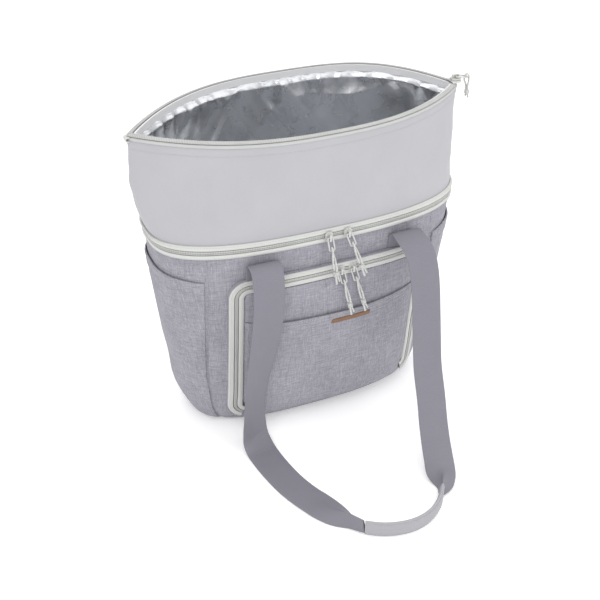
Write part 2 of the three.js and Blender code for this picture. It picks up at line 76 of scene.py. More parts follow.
def distances(points):
    """How far along a row of points each one lies."""
    return np.r_[0, np.cumsum(np.linalg.norm(np.diff(points, axis=0), axis=1))]


def smooth(rows):
    """A curve without overshoot through (height, value) rows, as a function of height."""
    z, v = np.array(rows, float).T
    step = np.diff(z)
    rise = np.diff(v) / step
    low, high = rise[:-1], rise[1:]
    both = low * high
    middle = np.where(both > 0, 2 * both / np.where(low + high == 0, 1, low + high), 0)
    slope = np.r_[rise[0], middle, rise[-1]]

    def at(height):
        h = np.clip(np.asarray(height, float), z[0], z[-1])
        i = np.clip(np.searchsorted(z, h, side="right") - 1, 0, len(z) - 2)
        return hermite((h - z[i]) / step[i], v[i], v[i + 1], step[i] * slope[i], step[i] * slope[i + 1])

    return at


def smooth_path(stops, step):
    """A smooth curve through the stops, with a row about every step millimetres."""
    p = np.array(stops, float)
    d = distances(p[:, :3])
    slope = np.gradient(p, d, axis=0)
    at = np.linspace(0, d[-1], max(2, round(d[-1] / step) + 1))
    i = np.clip(np.searchsorted(d, at, side="right") - 1, 0, len(d) - 2)
    h = (d[i + 1] - d[i])[:, None]
    return hermite((at - d[i])[:, None] / h, p[i], p[i + 1], h * slope[i], h * slope[i + 1])


def power(v, e):
    return np.sign(v) * np.abs(v) ** e


def ease(t):
    t = np.clip(t, 0, 1)
    return t * t * (3 - 2 * t)


def unit(v):
    return v / np.maximum(np.linalg.norm(v, axis=-1, keepdims=True), 1e-9)


# ---- the bag's two wall surfaces ----
WIDTHS = [
    (0, 140), (8, 151), (22, 158), (45, 166), (90, 173.5), (140, 179.5), (200, 186), (ZIP_Z, HALF_WIDTH),
]
DEPTHS = [(0, 58), (8, 65), (22, 68), (45, 70), (90, 72), (140, 75), (200, 78.5), (ZIP_Z, MID_DEPTH)]
SEAMS = [(0, 122), (22, 134), (45, 139), (90, 143), (ZIP_Z, SEAM_X)]
width_at, depth_at, seam_at = smooth(WIDTHS), smooth(DEPTHS), smooth(SEAMS)


class Puff:
    """How far a settled wall stands out from its pattern, over the turn round it and its height."""

    def __init__(self, values, low, high):
        self.values, self.low, self.high = values, low, high

    def __call__(self, angle, z):
        turns, levels = self.values.shape
        a = (np.asarray(angle, float) / (2 * math.pi) % 1) * turns
        h = np.clip((np.asarray(z, float) - self.low) / (self.high - self.low), 0, 1) * (levels - 1.001)
        a, h = np.broadcast_arrays(a, h)
        i, j = a.astype(int) % turns, h.astype(int)
        fa, fh = ease(a - a.astype(int)), ease(h - j)
        near = self.values[i, j] * (1 - fh) + self.values[i, j + 1] * fh
        far = self.values[(i + 1) % turns, j] * (1 - fh) + self.values[(i + 1) % turns, j + 1] * fh
        return near * (1 - fa) + far * fa


def no_puff(angle, z):
    return 0.0


PUFF = {"lower": no_puff, "upper": no_puff}


def same_shape(*values):
    return np.broadcast_arrays(*[np.asarray(v, float) for v in values])


def lower_at(angle, z, out=0.0):
    """The lower wall at an angle round it (0 is the right end) and a height, moved out by out."""
    angle, z, out = same_shape(angle, z, out)
    grown = out + PUFF["lower"](angle, z)
    x = (width_at(z) + grown) * power(np.cos(angle), 2 / CORNER)
    y = (depth_at(z) + grown) * power(np.sin(angle), 2 / CORNER)
    return np.stack([x, y, z], -1)


def face_at(x, z, out=0.0, side=-1):
    """The front (side -1) or back (side 1) wall at x across and z up, moved straight out."""
    x, z, out = same_shape(x, z, out)
    share = np.minimum(np.abs(x) / width_at(z), 0.9999)
    angle = np.arccos(np.sign(x) * share ** (CORNER / 2)) * side
    y = depth_at(z) * (1 - share**CORNER) ** (1 / CORNER) + out + PUFF["lower"](angle, z)
    return np.stack([x, side * y, z], -1)


def upper_at(angle, z, out=0.0):
    """The upper wall: the lower one's outline at the zip, turning into the mouth's pointed lens."""
    angle, z, out = same_shape(angle, z, out)
    grown = out + PUFF["upper"](angle, z)
    u = np.clip((z - ZIP_Z) / (LENS_Z - ZIP_Z), 0, 1)
    c, s = np.cos(angle), np.sin(angle)
    round_x = (HALF_WIDTH + grown) * power(c, 2 / CORNER)
    round_y = (MID_DEPTH + grown) * power(s, 2 / CORNER)
    reach = MOUTH_REACH + 2 * grown
    lens_x = reach * power(c, LENS_SPREAD)
    bow = np.where(s < 0, MOUTH_FRONT, MOUTH_BACK) + grown
    square = np.where(s < 0, FRONT_POWER, np.where(c < 0, BACK_LEFT_POWER, BACK_RIGHT_POWER))
    lens_y = np.sign(s) * bow * (1 - np.abs(lens_x / reach) ** square)
    swell = LEFT_SWELL * np.sin(math.pi * u) * np.maximum(-c, 0) ** 4
    x = round_x + (lens_x - MOUTH_SHIFT - round_x) * u - swell
    y = round_y + (lens_y - round_y) * u
    drop = TIP_DROP * (np.maximum(x, 0) / MOUTH_REACH) ** 2 * u**2
    return np.stack([x, y, z - drop], -1)


def even_angles(section, z, start, stop, count):
    """Angles that step evenly along a section's outline."""
    dense = np.linspace(start, stop, 6001)
    s = distances(section(dense, z))
    return np.interp(np.linspace(0, s[-1], count), s, dense)


def seam_angle(z):
    """How far round from the side's middle the front and back seams run."""
    return np.arccos((seam_at(z) / width_at(z)) ** (CORNER / 2))


def disc(outline, share, height):
    """Rings that shrink from a flat outline to its centre by their shares, at their heights."""
    grid = outline * LEVEL * share[None, :, None]
    grid[..., 2] = height
    return grid


def line_below(grid, down):
    """A line across a grid's columns, down millimetres below their top ends."""
    rows = []
    for column in grid:
        below = column[-1, 2] - column[:, 2]
        rows.append([np.interp(down, below[::-1], column[::-1, k]) for k in range(3)])
    return np.array(rows)


# ---- meshes ----
def finish_piece(piece, looks, body, slot, replaces=(), sharp=40):
    for look in looks:
        piece.data.materials.append(look)
    piece.data.shade_smooth()
    piece.data.set_sharp_from_angle(angle=math.radians(sharp))
    if body:
        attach(piece, body)
    if replaces:
        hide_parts(*replaces)
    return piece


def make(name, verts, faces, uvs, kinds=None):
    """A mesh object from millimetre points; uvs holds each face corner's place on the flat cloth."""
    mesh = bpy.data.meshes.new(name)
    mesh.from_pydata((np.asarray(verts) * MM).tolist(), [], [list(f) for f in faces])
    layer = mesh.uv_layers.new(name="cloth")
    layer.data.foreach_set("uv", np.asarray(uvs, np.float32).ravel())
    if kinds is not None:
        mesh.polygons.foreach_set("material_index", np.asarray(kinds, np.int32))
    mesh.update()
    piece = bpy.data.objects.new(name, mesh)
    bpy.context.scene.collection.objects.link(piece)
    return piece


def flat_places(grid):
    """Each grid point's place on the flat cloth, in metres: across the rows and along the columns."""
    s = np.zeros(grid.shape[:2])
    t = np.zeros(grid.shape[:2])
    s[1:] = np.cumsum(np.linalg.norm(np.diff(grid, axis=0), axis=-1), axis=0)
    t[:, 1:] = np.cumsum(np.linalg.norm(np.diff(grid, axis=1), axis=-1), axis=1)
    return np.stack([s - s[len(s) // 2], t], -1) * MM


def slab(name, outer, inner, looks, body, slot, loop=False, kind_at=None, **how):
    """A closed layer between two matching grids of points; a loop's last row repeats its first."""
    rows, cols = outer.shape[:2]
    real = rows - 1 if loop else rows
    verts = np.concatenate([outer[:real].reshape(-1, 3), inner[:real].reshape(-1, 3)])
    place = flat_places(outer)
    i, j = np.meshgrid(np.arange(rows - 1), np.arange(cols - 1), indexing="ij")
    i, j = i.ravel(), j.ravel()

    def quads(*corners):
        """Faces and their grid places, from four corners given as side, row and column."""
        faces = np.stack([side * real * cols + (a % real) * cols + b for side, a, b in corners], 1)
        return faces, np.stack([np.stack([a, b], -1) for _, a, b in corners], 1)

    parts = [
        quads((0, i, j), (0, i + 1, j), (0, i + 1, j + 1), (0, i, j + 1)),
        quads((1, i, j), (1, i, j + 1), (1, i + 1, j + 1), (1, i + 1, j)),
    ]
    a = np.arange(rows - 1)
    for b, near, far in ((0 * a, 0, 1), (0 * a + cols - 1, 1, 0)):
        parts.append(quads((near, a, b), (far, a, b), (far, a + 1, b), (near, a + 1, b)))
    b = np.arange(cols - 1)
    for a, near, far in () if loop else ((0 * b, 1, 0), (0 * b + rows - 1, 0, 1)):
        parts.append(quads((near, a, b), (far, a, b), (far, a, b + 1), (near, a, b + 1)))
    faces = np.concatenate([p[0] for p in parts])
    grid_places = np.concatenate([p[1] for p in parts])
    p = verts[faces]
    volume = np.einsum("ij,ij->i", p[:, 0], np.cross(p[:, 1], p[:, 2])).sum()
    volume += np.einsum("ij,ij->i", p[:, 0], np.cross(p[:, 2], p[:, 3])).sum()
    if volume < 0:
        faces, grid_places = faces[:, ::-1], grid_places[:, ::-1]
    uvs = place[grid_places[..., 0], grid_places[..., 1]]
    kinds = None if kind_at is None else np.array([kind_at(g[:, 1].mean()) for g in grid_places])
    return finish_piece(make(name, verts, faces, uvs.reshape(-1, 2), kinds), looks, body, slot, **how)


def tube_parts(rings):
    """Points, faces and flat places of a closed skin round rings of points, with a flat cap at each end."""
    count, around = rings.shape[:2]
    verts = rings.reshape(-1, 3)
    closed = np.concatenate([rings, rings[:, :1]], axis=1)
    place = flat_places(closed.transpose(1, 0, 2)).transpose(1, 0, 2)
    faces, uvs = [], []
    for i in range(count - 1):
        for j in range(around):
            k = (j + 1) % around
            faces.append([i * around + j, i * around + k, (i + 1) * around + k, (i + 1) * around + j])
            uvs += [place[i, j], place[i, j + 1], place[i + 1, j + 1], place[i + 1, j]]
    faces.append(list(range(around))[::-1])
    uvs += [place[0, j] for j in range(around)][::-1]
    faces.append([(count - 1) * around + j for j in range(around)])
    uvs += [place[-1, j] for j in range(around)]
    return verts, faces, uvs


def merge(parts):
    verts, faces, uvs, start = [], [], [], 0
    for v, f, u in parts:
        verts.append(v)
        faces += [[n + start for n in face] for face in f]
        uvs += list(u)
        start += len(v)
    return np.concatenate(verts), faces, uvs


def round_rings(path, radius, sides=10, swell=None):
    """Rings of a round section along a path, carried without twist."""
    path = np.asarray(path, float)
    along = unit(np.gradient(path, axis=0))
    side = np.cross(along[0], [0.3, 0.2, 1.0] if abs(along[0][2]) < 0.9 else [1.0, 0.2, 0])
    rings = []
    for i, p in enumerate(path):
        side = side - along[i] * np.dot(side, along[i])
        side /= np.linalg.norm(side)
        other = np.cross(along[i], side)
        turn = np.linspace(0, 2 * math.pi, sides, endpoint=False)
        r = (radius[i] if np.ndim(radius) else radius) * (1 if swell is None else swell(i, turn))
        rings.append(p + (np.cos(turn) * r)[:, None] * side + (np.sin(turn) * r)[:, None] * other)
    return np.array(rings)


def tube(name, path, radius, looks, body, slot, sides=10, swell=None, **how):
    rings = round_rings(path, radius, sides, swell)
    return finish_piece(make(name, *tube_parts(rings)), looks, body, slot, **how)


def stitches(name, path, lift, body, look, pitch=3.4, long=2.4, thick=0.42):
    """A row of short thread stitches along a path; lift is the outward direction at each point."""
    path, lift = np.asarray(path, float), unit(np.asarray(lift, float))
    d = distances(path)
    parts = []
    for at in np.arange(pitch, d[-1] - long, pitch):
        stops = at + long * np.array([0, 0.18, 0.5, 0.82, 1])
        centre = np.stack([np.interp(stops, d, path[:, k]) for k in range(3)], -1)
        out = unit(np.stack([np.interp(stops, d, lift[:, k]) for k in range(3)], -1))
        along = unit(np.gradient(centre, axis=0))
        side = unit(np.cross(along, out))
        arch = np.array([-0.25, 0.12, 0.22, 0.12, -0.25])[:, None]
        size = thick * np.array([0.35, 0.9, 1, 0.9, 0.35])[:, None, None] / 2
        turn = np.linspace(0, 2 * math.pi, 6, endpoint=False)[None, :, None]
        section = np.cos(turn) * side[:, None] + np.sin(turn) * out[:, None]
        parts.append(tube_parts((centre + out * arch)[:, None] + size * section))
    return finish_piece(make(name, *merge(parts)), [look], body, None)


# ---- looks ----
def graph(name):
    material = bpy.data.materials.new(name)
    material.use_nodes = True
    tree = material.node_tree
    shader = tree.nodes["Principled BSDF"]

    def add(kind, inputs=None, **settings):
        node = tree.nodes.new("ShaderNode" + kind)
        for key, value in settings.items():
            setattr(node, key, value)
        for key, value in (inputs or {}).items():
            if isinstance(value, bpy.types.NodeSocket):
                tree.links.new(value, node.inputs[key])
            else:
                node.inputs[key].default_value = value
        return node

    def join(socket, name_):
        tree.links.new(socket, shader.inputs[name_])

    return material, shader, add, join


def scaled(add, where, scale):
    return add("VectorMath", {0: where, 1: scale}, operation="MULTIPLY").outputs[0]


def noise(add, where, scale, detail=2.0, rough=0.5, swirl=0.0):
    return add("TexNoise", {
        "Vector": scaled(add, where, scale), "Scale": 1.0, "Detail": detail, "Roughness": rough,
        "Distortion": swirl,
    }).outputs[0]


def waves(add, where, scale, distortion, direction):
    """Soft ridges that follow one another along a direction."""
    inputs = {"Vector": where, "Scale": scale, "Distortion": distortion}
    return add("TexWave", inputs, bands_direction=direction).outputs[1]


def ranged(add, value, low, high):
    """A noise's usual span, 0.3 to 0.7, stretched to run from low to high."""
    return add("MapRange", {0: value, 1: 0.3, 2: 0.7, 3: low, 4: high}).outputs[0]


def mixed(add, a, b, share=0.5):
    return add("Mix", {0: share, 2: a, 3: b}, data_type="FLOAT").outputs[0]


def ramp(add, value, stops):
    node = add("ValToRGB", {0: value})
    elements = node.color_ramp.elements
    while len(elements) < len(stops):
        elements.new(0.5)
    for element, (place, colour) in zip(elements, stops):
        element.position = place
        element.color = (*colour, 1)
    return node.outputs[0]


def bumped(add, join, height, distance, strength=1.0):
    join(add("Bump", {"Height": height, "Distance": distance, "Strength": strength}).outputs[0], "Normal")


def tint(colour, share):
    return tuple(c * share for c in colour)


def woven(name, colour, contrast, thread, slub, rough, weave_bump, sheen=0.0, specular=0.3, tone=0.05):
    """Cloth with warp and weft threads of uneven shade; thread and slub are lengths in metres."""
    material, shader, add, join = graph(name)
    place = add("UVMap", uv_map="cloth").outputs[0]
    swirl = 2.2  # shifts neighbouring threads, so that their pale and dark lengths never line up
    warp = noise(add, place, (1 / thread, 1 / slub, 0), 3.0, 0.6, swirl)
    weft = noise(add, place, (1 / slub, 1 / thread, 0), 3.0, 0.6, swirl)
    fine = noise(add, place, (1.9 / thread, 1.9 / thread, 0), 2.0)
    threads = mixed(add, mixed(add, warp, weft), fine, 0.22)
    patches = noise(add, place, (14, 14, 0), 3.0)
    shade = mixed(add, threads, patches, tone)
    spread = 0.13
    join(ramp(add, shade, [
        (0.5 - spread, tint(colour, 1 - contrast)), (0.5, colour), (0.5 + spread, tint(colour, 1 + contrast)),
    ]), "Base Color")
    over, under = (waves(add, place, 0.16 / thread, 0.6, direction) for direction in "XY")
    bumped(add, join, mixed(add, mixed(add, over, under), threads, 0.6), weave_bump)
    join(ranged(add, threads, rough - 0.06, rough + 0.06), "Roughness")
    shader.inputs["Specular IOR Level"].default_value = specular
    shader.inputs["Sheen Weight"].default_value = sheen
    shader.inputs["Sheen Roughness"].default_value = 0.5
    return material


def ribbed(name, colour, pitch, direction, rough, bump, contrast=0.06, specular=0.3):
    """Tape or webbing with ribs across one direction; pitch is in metres."""
    material, shader, add, join = graph(name)
    place = add("UVMap", uv_map="cloth").outputs[0]
    rib = waves(add, place, math.pi / 20 / pitch, 0.3, direction)
    grain = noise(add, place, (900, 900, 0), 3.0)
    soft = noise(add, place, (30, 30, 0), 2.0)
    shade = mixed(add, mixed(add, rib, grain, 0.6), soft, 0.4)
    join(ramp(add, shade, [
        (0.25, tint(colour, 1 - contrast)), (0.75, tint(colour, 1 + contrast)),
    ]), "Base Color")
    bumped(add, join, mixed(add, rib, grain, 0.3), bump)
    shader.inputs["Roughness"].default_value = rough
    shader.inputs["Specular IOR Level"].default_value = specular
    return material


def plain(name, colour, rough, metal=0.0, bump=0.00005, scale=900, contrast=0.05, specular=0.5):
    """One colour with a fine grain and a slight change of tone."""
    material, shader, add, join = graph(name)
    place = add("TexCoord").outputs["Object"]
    grain = noise(add, place, (scale, scale, scale), 4.0)
    tone = noise(add, place, (60, 60, 60), 2.0)
    join(ramp(add, mixed(add, grain, tone), [
        (0.3, tint(colour, 1 - contrast)), (0.7, tint(colour, 1 + contrast)),
    ]), "Base Color")
    join(ranged(add, tone, rough - 0.05, rough + 0.05), "Roughness")
    bumped(add, join, grain, bump)
    shader.inputs["Metallic"].default_value = metal
    shader.inputs["Specular IOR Level"].default_value = specular
    return material


def foil_look():
    """Aluminised film: bright, slightly soft mirror with fine crinkles."""
    material, shader, add, join = graph("silver_foil")
    place = add("UVMap", uv_map="cloth").outputs[0]
    cells = {"Vector": scaled(add, place, (55, 55, 0)), "Scale": 1.0}
    crease = add("TexVoronoi", cells, feature="DISTANCE_TO_EDGE").outputs[0]
    ripple = noise(add, place, (120, 60, 0), 4.0, 0.6)
    bumped(add, join, mixed(add, ripple, crease, 0.12), 0.0012, 0.5)
    dull = noise(add, place, (25, 25, 0), 3.0)
    join(ramp(add, dull, [(0.3, (0.52, 0.53, 0.55)), (0.7, (0.68, 0.69, 0.71))]), "Base Color")
    join(ranged(add, dull, 0.2, 0.34), "Roughness")
    shader.inputs["Metallic"].default_value = 1.0
    return material


heather = woven("heather_cloth", (0.288, 0.283, 0.319), 0.55, 0.0009, 0.022, 0.85, 0.0002,
                sheen=0.06, specular=0.12, tone=0.1)
coated = woven("coated_cloth", (0.402, 0.401, 0.424), 0.05, 0.0006, 0.006, 0.55, 0.00005, tone=0.3)
tape_look = ribbed("zip_tape", (0.55, 0.557, 0.535), 0.0009, "Y", 0.75, 0.00012)
# the groove's dark colour is painted shade: it darkens the gaps between the tapes and the teeth
groove_painted_shade = ribbed("zip_groove_painted_shade", (0.16, 0.16, 0.17), 0.0012, "X", 0.7, 0.0001)
coil_light = ribbed("zip_teeth", (0.42, 0.425, 0.41), 0.0014, "X", 0.5, 0.0003, 0.2)
rim_tape = ribbed("rim_tape", (0.47, 0.475, 0.47), 0.0009, "Y", 0.75, 0.00012)
# the facing's tape is the rim tape made lighter: painted light that lifts the shade on the mouth's inner face
facing_tape_painted_light = ribbed("facing_tape_painted_light", (0.68, 0.68, 0.695), 0.0009, "Y", 0.8, 0.00012)
webbing = ribbed("webbing", (0.197, 0.194, 0.225), 0.0012, "Y", 0.62, 0.00016, 0.05)
grip_look = woven("grip_cloth", (0.347, 0.346, 0.368), 0.07, 0.0006, 0.006, 0.65, 0.00008)
thread_light = plain("thread_light", (0.45, 0.45, 0.48), 0.7)
thread_grey = plain("thread_grey", (0.33, 0.33, 0.36), 0.7)
silver_foil = foil_look()
foam_look = plain("foam", (0.80, 0.80, 0.77), 0.9, bump=0.0002, scale=1500)
leather = plain("tag_leather", (0.19, 0.10, 0.055), 0.55, bump=0.00025, scale=1400, contrast=0.3)
metal = plain("painted_zip_metal", (0.52, 0.52, 0.505), 0.35, metal=0.15, bump=0.00002)
cord_look = woven("pull_cord", (0.54, 0.54, 0.53), 0.6, 0.0007, 0.0016, 0.75, 0.0002)
board_look = plain("board", (0.3, 0.3, 0.31), 0.7)


# ---- camera: as high and as far to the left as the photograph's, looking down on the bag's front ----
VIEW_TURN, VIEW_DOWN, VIEW_ROLL = (math.radians(a) for a in (24.2, 33.5, 0.9))
VIEW_CENTRE, VIEW_DISTANCE = Vector((0, 0, 0.170)), 1.357
LENS, SENSOR, LENS_SHIFT = 64.8, 36, -0.05


def make_camera():
    flat = math.cos(VIEW_DOWN)
    ahead = Vector((math.sin(VIEW_TURN) * flat, math.cos(VIEW_TURN) * flat, -math.sin(VIEW_DOWN)))
    right = Vector((math.cos(VIEW_TURN), -math.sin(VIEW_TURN), 0))
    up = right.cross(ahead)
    level, tilted = math.cos(VIEW_ROLL), math.sin(VIEW_ROLL)
    side, top = level * right + tilted * up, -tilted * right + level * up
    data = bpy.data.cameras.new("camera")
    data.sensor_width, data.lens, data.shift_y = SENSOR, LENS, LENS_SHIFT
    camera = bpy.data.objects.new("camera", data)
    bpy.context.scene.collection.objects.link(camera)
    place = Matrix((side, top, -ahead)).transposed().to_4x4()
    place.translation = VIEW_CENTRE - ahead * VIEW_DISTANCE
    camera.matrix_world = place
    bpy.context.scene.camera = camera


make_camera()

# ---- pull cords: a loop through each puller, closed by a knot with two short tails ----
PIVOT = -4.0  # how far ahead of its slider each puller hangs
CORD_R = 1.2
LOOP = [
    (-1.5, -4, -42), (-1.7, -4.5, -32), (-1, -6.6, -20), (-0.3, -6.8, -15.5), (0, -4, -12.8),
    (0.3, -1.2, -15.5), (1, -1.4, -20), (1.7, -3.6, -32), (1.3, -4, -43), (-0.4, -4.2, -48),
    (-1.6, -4.6, -60),
]
TAIL = [(1.2, -4, -46), (1.6, -3.6, -52), (2.6, -3.4, -58)]
CORD_STEP = 0.8
KNOT_TURNS, KNOT_R, KNOT_CORD_R, KNOT_TOP, KNOT_RISE = 2.6, 2.0, 1.25, -44.2, 0.36
SLOT_TOP = (0, PIVOT, -12.8)
# the mouth's cord turns down round the end bar of its puller, and is shorter past the bend
BAR_Z, DROOP, BEND, SHORTER = -16.2, 1.25, 4, 0.6
FORWARD, MOUTH_TILT = -0.17, 0.2
SLIDER_OUT, POCKET_SLIDER_OUT, POCKET_ZIP_Z = 3.4, 8.3, POCKET_TOP - 8.4
TAIL_TOP = RIM_Z + 8.2 - 0.52 * TIP_DROP
TAIL_X = MOUTH_REACH - MOUTH_SHIFT - 3


def turned(axis, angle):
    return np.array(Matrix.Rotation(angle, 3, axis))


class Pull:
    """Where one slider sits: its origin, the frame it faces in, and how its pull leans."""

    def __init__(self, name, origin, facing, tilt, lean, droops=False):
        self.name, self.origin, self.facing, self.droops = name, np.array(origin, float), facing, droops
        self.swing = turned("Y", lean) @ turned("X", tilt)

    def at(self, points):
        p = np.array(points, float)
        if self.droops:
            below = p[:, 2] - BAR_Z
            below = np.where(below < -BEND, (below + BEND) * SHORTER - BEND, below)
            ahead = p[:, 1] - PIVOT
            p[:, 1] = PIVOT + ahead * math.cos(DROOP) - below * math.sin(DROOP)
            p[:, 2] = BAR_Z + ahead * math.sin(DROOP) + below * math.cos(DROOP)
        pivot = np.array([0, PIVOT, 0])
        return self.origin + (pivot + (p - pivot) @ self.swing.T) @ self.facing.T


SIDEWAYS = np.array([[0, 0, -1], [1, 0, 0], [0, -1, 0]], float)
FACING_FRONT = np.eye(3)
PULLS = [
    Pull("mid_left", face_at(-3, ZIP_Z, SLIDER_OUT), FACING_FRONT, FORWARD, -0.12),
    Pull("mid_right", face_at(21, ZIP_Z, SLIDER_OUT), FACING_FRONT, FORWARD, -0.33),
    Pull("pocket_left", face_at(12, POCKET_ZIP_Z, POCKET_SLIDER_OUT), FACING_FRONT, FORWARD, -0.2),
    Pull("pocket_right", face_at(27.5, POCKET_ZIP_Z, POCKET_SLIDER_OUT), FACING_FRONT, FORWARD, -0.25),
    Pull("mouth", (TAIL_X, 0, TAIL_TOP + 0.3), SIDEWAYS, MOUTH_TILT, 0, droops=True),
]


def braid(i, turn):
    """The small bumps of plaited strands round a cord."""
    return 1 + 0.07 * np.sin(2 * turn + i * 1.1) * np.sin(2 * turn - i * 1.1)


def make_pull_cord(pull):
    def part(name, points, radius, **how):
        return tube(f"{pull.name}_{name}", points, radius, [cord_look], f"{pull.name}_pull", "pull_cord",
                    swell=braid, **how)

    path = pull.at(smooth_path(LOOP, CORD_STEP))
    cord = part("loop", path, CORD_R, replaces=[f"{pull.name}_cord"])
    tail = part("tail", pull.at(smooth_path(TAIL, CORD_STEP)), CORD_R)
    turn = np.linspace(0, KNOT_TURNS * 2 * math.pi, 60)
    wrap = np.stack([KNOT_R * np.cos(turn), PIVOT + KNOT_R * np.sin(turn), KNOT_TOP - turn * KNOT_RISE], -1)
    knot = part("knot", pull.at(wrap), KNOT_CORD_R)
    exit_point = pull.at([SLOT_TOP])[0] * MM


for pull in PULLS:
    make_pull_cord(pull)


# ---- cloth simulation: the padded walls settle a little between their sewn edges ----
SETTLE_FRAMES = 20
MOST_PUFF = 2.2


def settle(section, low, high, columns=120, rows=26):
    """Hangs a wall between its two sewn edges as cloth, and returns how far each place moves out."""
    angles = even_angles(section, (low + high) / 2, 0, 2 * math.pi, columns + 1)[:-1]
    levels = np.linspace(low, high, rows)
    rest = section(angles[:, None], levels[None, :]) * MM
    faces = [[i * rows + j, (i + 1) % columns * rows + j, (i + 1) % columns * rows + j + 1, i * rows + j + 1]
             for i in range(columns) for j in range(rows - 1)]
    mesh = bpy.data.meshes.new("wall")
    mesh.from_pydata(rest.reshape(-1, 3).tolist(), [], faces)
    wall = bpy.data.objects.new("wall", mesh)
    bpy.context.scene.collection.objects.link(wall)
    held = wall.vertex_groups.new(name="sewn")
    held.add([i * rows + j for i in range(columns) for j in (0, 1, rows - 2, rows - 1)], 1.0, "REPLACE")
    cloth = wall.modifiers.new("cloth", "CLOTH").settings
    cloth.quality = 6
    cloth.mass = 0.25
    cloth.tension_stiffness = cloth.compression_stiffness = 40
    cloth.shear_stiffness = 12
    cloth.bending_stiffness = 4
    cloth.vertex_group_mass = "sewn"
    cloth.use_pressure = True
    cloth.uniform_pressure_force = 1.2
    cloth.shrink_min = -0.012
    cloth.effector_weights.gravity = 0.5
    scene = bpy.context.scene
    for step in range(1, SETTLE_FRAMES + 1):
        scene.frame_set(step)
    shown = wall.evaluated_get(bpy.context.evaluated_depsgraph_get())
    moved = np.array([v.co for v in shown.data.vertices]).reshape(columns, rows, 3) - rest
    bpy.data.objects.remove(wall)
    scene.frame_set(1)
    outward = unit(section(angles[:, None], levels[None, :], 1.0) * MM - rest)
    puff = (moved * outward).sum(-1) / MM
    puff[:, :1] = puff[:, -1:] = 0
    for _ in range(2):
        puff = (puff + np.roll(puff, 1, 0) + np.roll(puff, -1, 0)) / 3
        puff[:, 1:-1] = (puff[:, :-2] + puff[:, 1:-1] + puff[:, 2:]) / 3
    puff = MOST_PUFF * np.tanh(puff / MOST_PUFF)
    even = np.linspace(0, 2 * math.pi, 241)[:-1]
    full = np.concatenate([puff, puff[:1]])
    turns = np.r_[angles, 2 * math.pi]
    return Puff(np.stack([np.interp(even, turns, full[:, j]) for j in range(rows)], -1), low, high)


PUFF["lower"] = settle(lower_at, 14, ZIP_Z - 9)
PUFF["upper"] = settle(upper_at, ZIP_Z + 9, RIM_Z - 3)


# ---- lower compartment ----
def edge_columns(count):
    """Places from -1 to 1, with more of them close to both ends."""
    close = np.array([0.004, 0.009, 0.015, 0.022, 0.03])
    return np.unique(np.concatenate([np.linspace(-1, 1, count), 1 - close, close - 1]))


SIDES = (("left", math.pi), ("right", 0))
FACES = (("front", -1), ("back", 1))
WALL_LEVELS = np.concatenate([np.linspace(0.8, 24, 16), np.linspace(29, ZIP_Z - 0.7, 54)])


def tuck(grid, depth=1.5, reach=2.2):
    """How far cloth dips where it is sewn, by its distance from the first and last rows."""
    first = np.linalg.norm(grid - grid[:1], axis=-1)
    last = np.linalg.norm(grid - grid[-1:], axis=-1)
    return -depth * np.exp(-((np.minimum(first, last) / reach) ** 2))


def panel(name, columns, place):
    """A wall panel between two seams; place(column, levels, out) gives its surface."""
    dip = tuck(np.stack([place(u, WALL_LEVELS, 0) for u in columns]))
    outer = np.stack([place(u, WALL_LEVELS, row) for u, row in zip(columns, dip)])
    inner = np.stack([place(u, WALL_LEVELS, row - CLOTH_T) for u, row in zip(columns, dip)])
    return slab(name, outer, inner, [heather], LOWER, "heather_cloth", replaces=[name])


SIDE_Z = 150  # the height at which the sides' columns are spaced evenly
SIDE_HALF = float(seam_angle(SIDE_Z))
SIDE_TURNS = even_angles(lower_at, SIDE_Z, -SIDE_HALF, SIDE_HALF, 401) / SIDE_HALF


def side_angle(u, z, edge_gap=0.0015):
    """The angle at share u from one seam (-1) to the other (1), stepping evenly round the side."""
    return np.interp(u, np.linspace(-1, 1, len(SIDE_TURNS)), SIDE_TURNS) * (seam_angle(z) - edge_gap)


def make_lower_walls():
    for name, side in FACES:
        panel(f"lower_{name}_panel", edge_columns(101),
              lambda u, z, out, side=side: face_at(u * (seam_at(z) - 0.15), z, out, side))
    for name, start in SIDES:
        panel(f"lower_{name}_panel", edge_columns(71),
              lambda u, z, out, start=start: lower_at(start + side_angle(u, z), z, out))
    outline = lower_at(even_angles(lower_at, 1, 0, 2 * math.pi, 161)[:, None], 0.8)
    share = np.linspace(CENTRE, 1, 26)
    edge = 0.9 * share**12
    slab("bag_base", disc(outline, share, edge), disc(outline, share * 0.996, edge + 1.0), [heather], LOWER,
         "heather_cloth", loop=True, replaces=["base_panel"])


# ---- side pockets ----
SIDE_HEM, HEM_RISE, SIDE_POCKET_LOW = 228, 7, 8
HEM_STITCH, TUCK_STITCH = 16, 32  # millimetres below the hem
SIDE_POCKET_SHARES = np.r_[np.linspace(0, 0.9, 36), np.linspace(0.91, 1, 14)]


def side_pocket_column(u, start, out, relief):
    """One column of a side pocket's cloth, up to its hem; relief is 1 where its fold and tuck show."""
    arch = max(math.cos(math.pi * u / 2), 0)
    hem = SIDE_HEM + HEM_RISE * arch
    z = SIDE_POCKET_LOW + SIDE_POCKET_SHARES * (hem - SIDE_POCKET_LOW)
    below = hem - z
    swell = arch**0.6 * (z / hem) ** 7
    fold = 0.7 * ease((HEM_STITCH + 1.5 - below) / 1.5) - 0.5 * ease((1.2 - below) / 1.2)
    groove = -0.5 * np.exp(-(((below - TUCK_STITCH) / 1.1) ** 2))
    dip = -0.7 * math.exp(-(((1 - abs(u)) * 25) ** 2))
    return lower_at(start + side_angle(u, z, 0.03), z, out + swell + dip + (fold + groove) * relief)


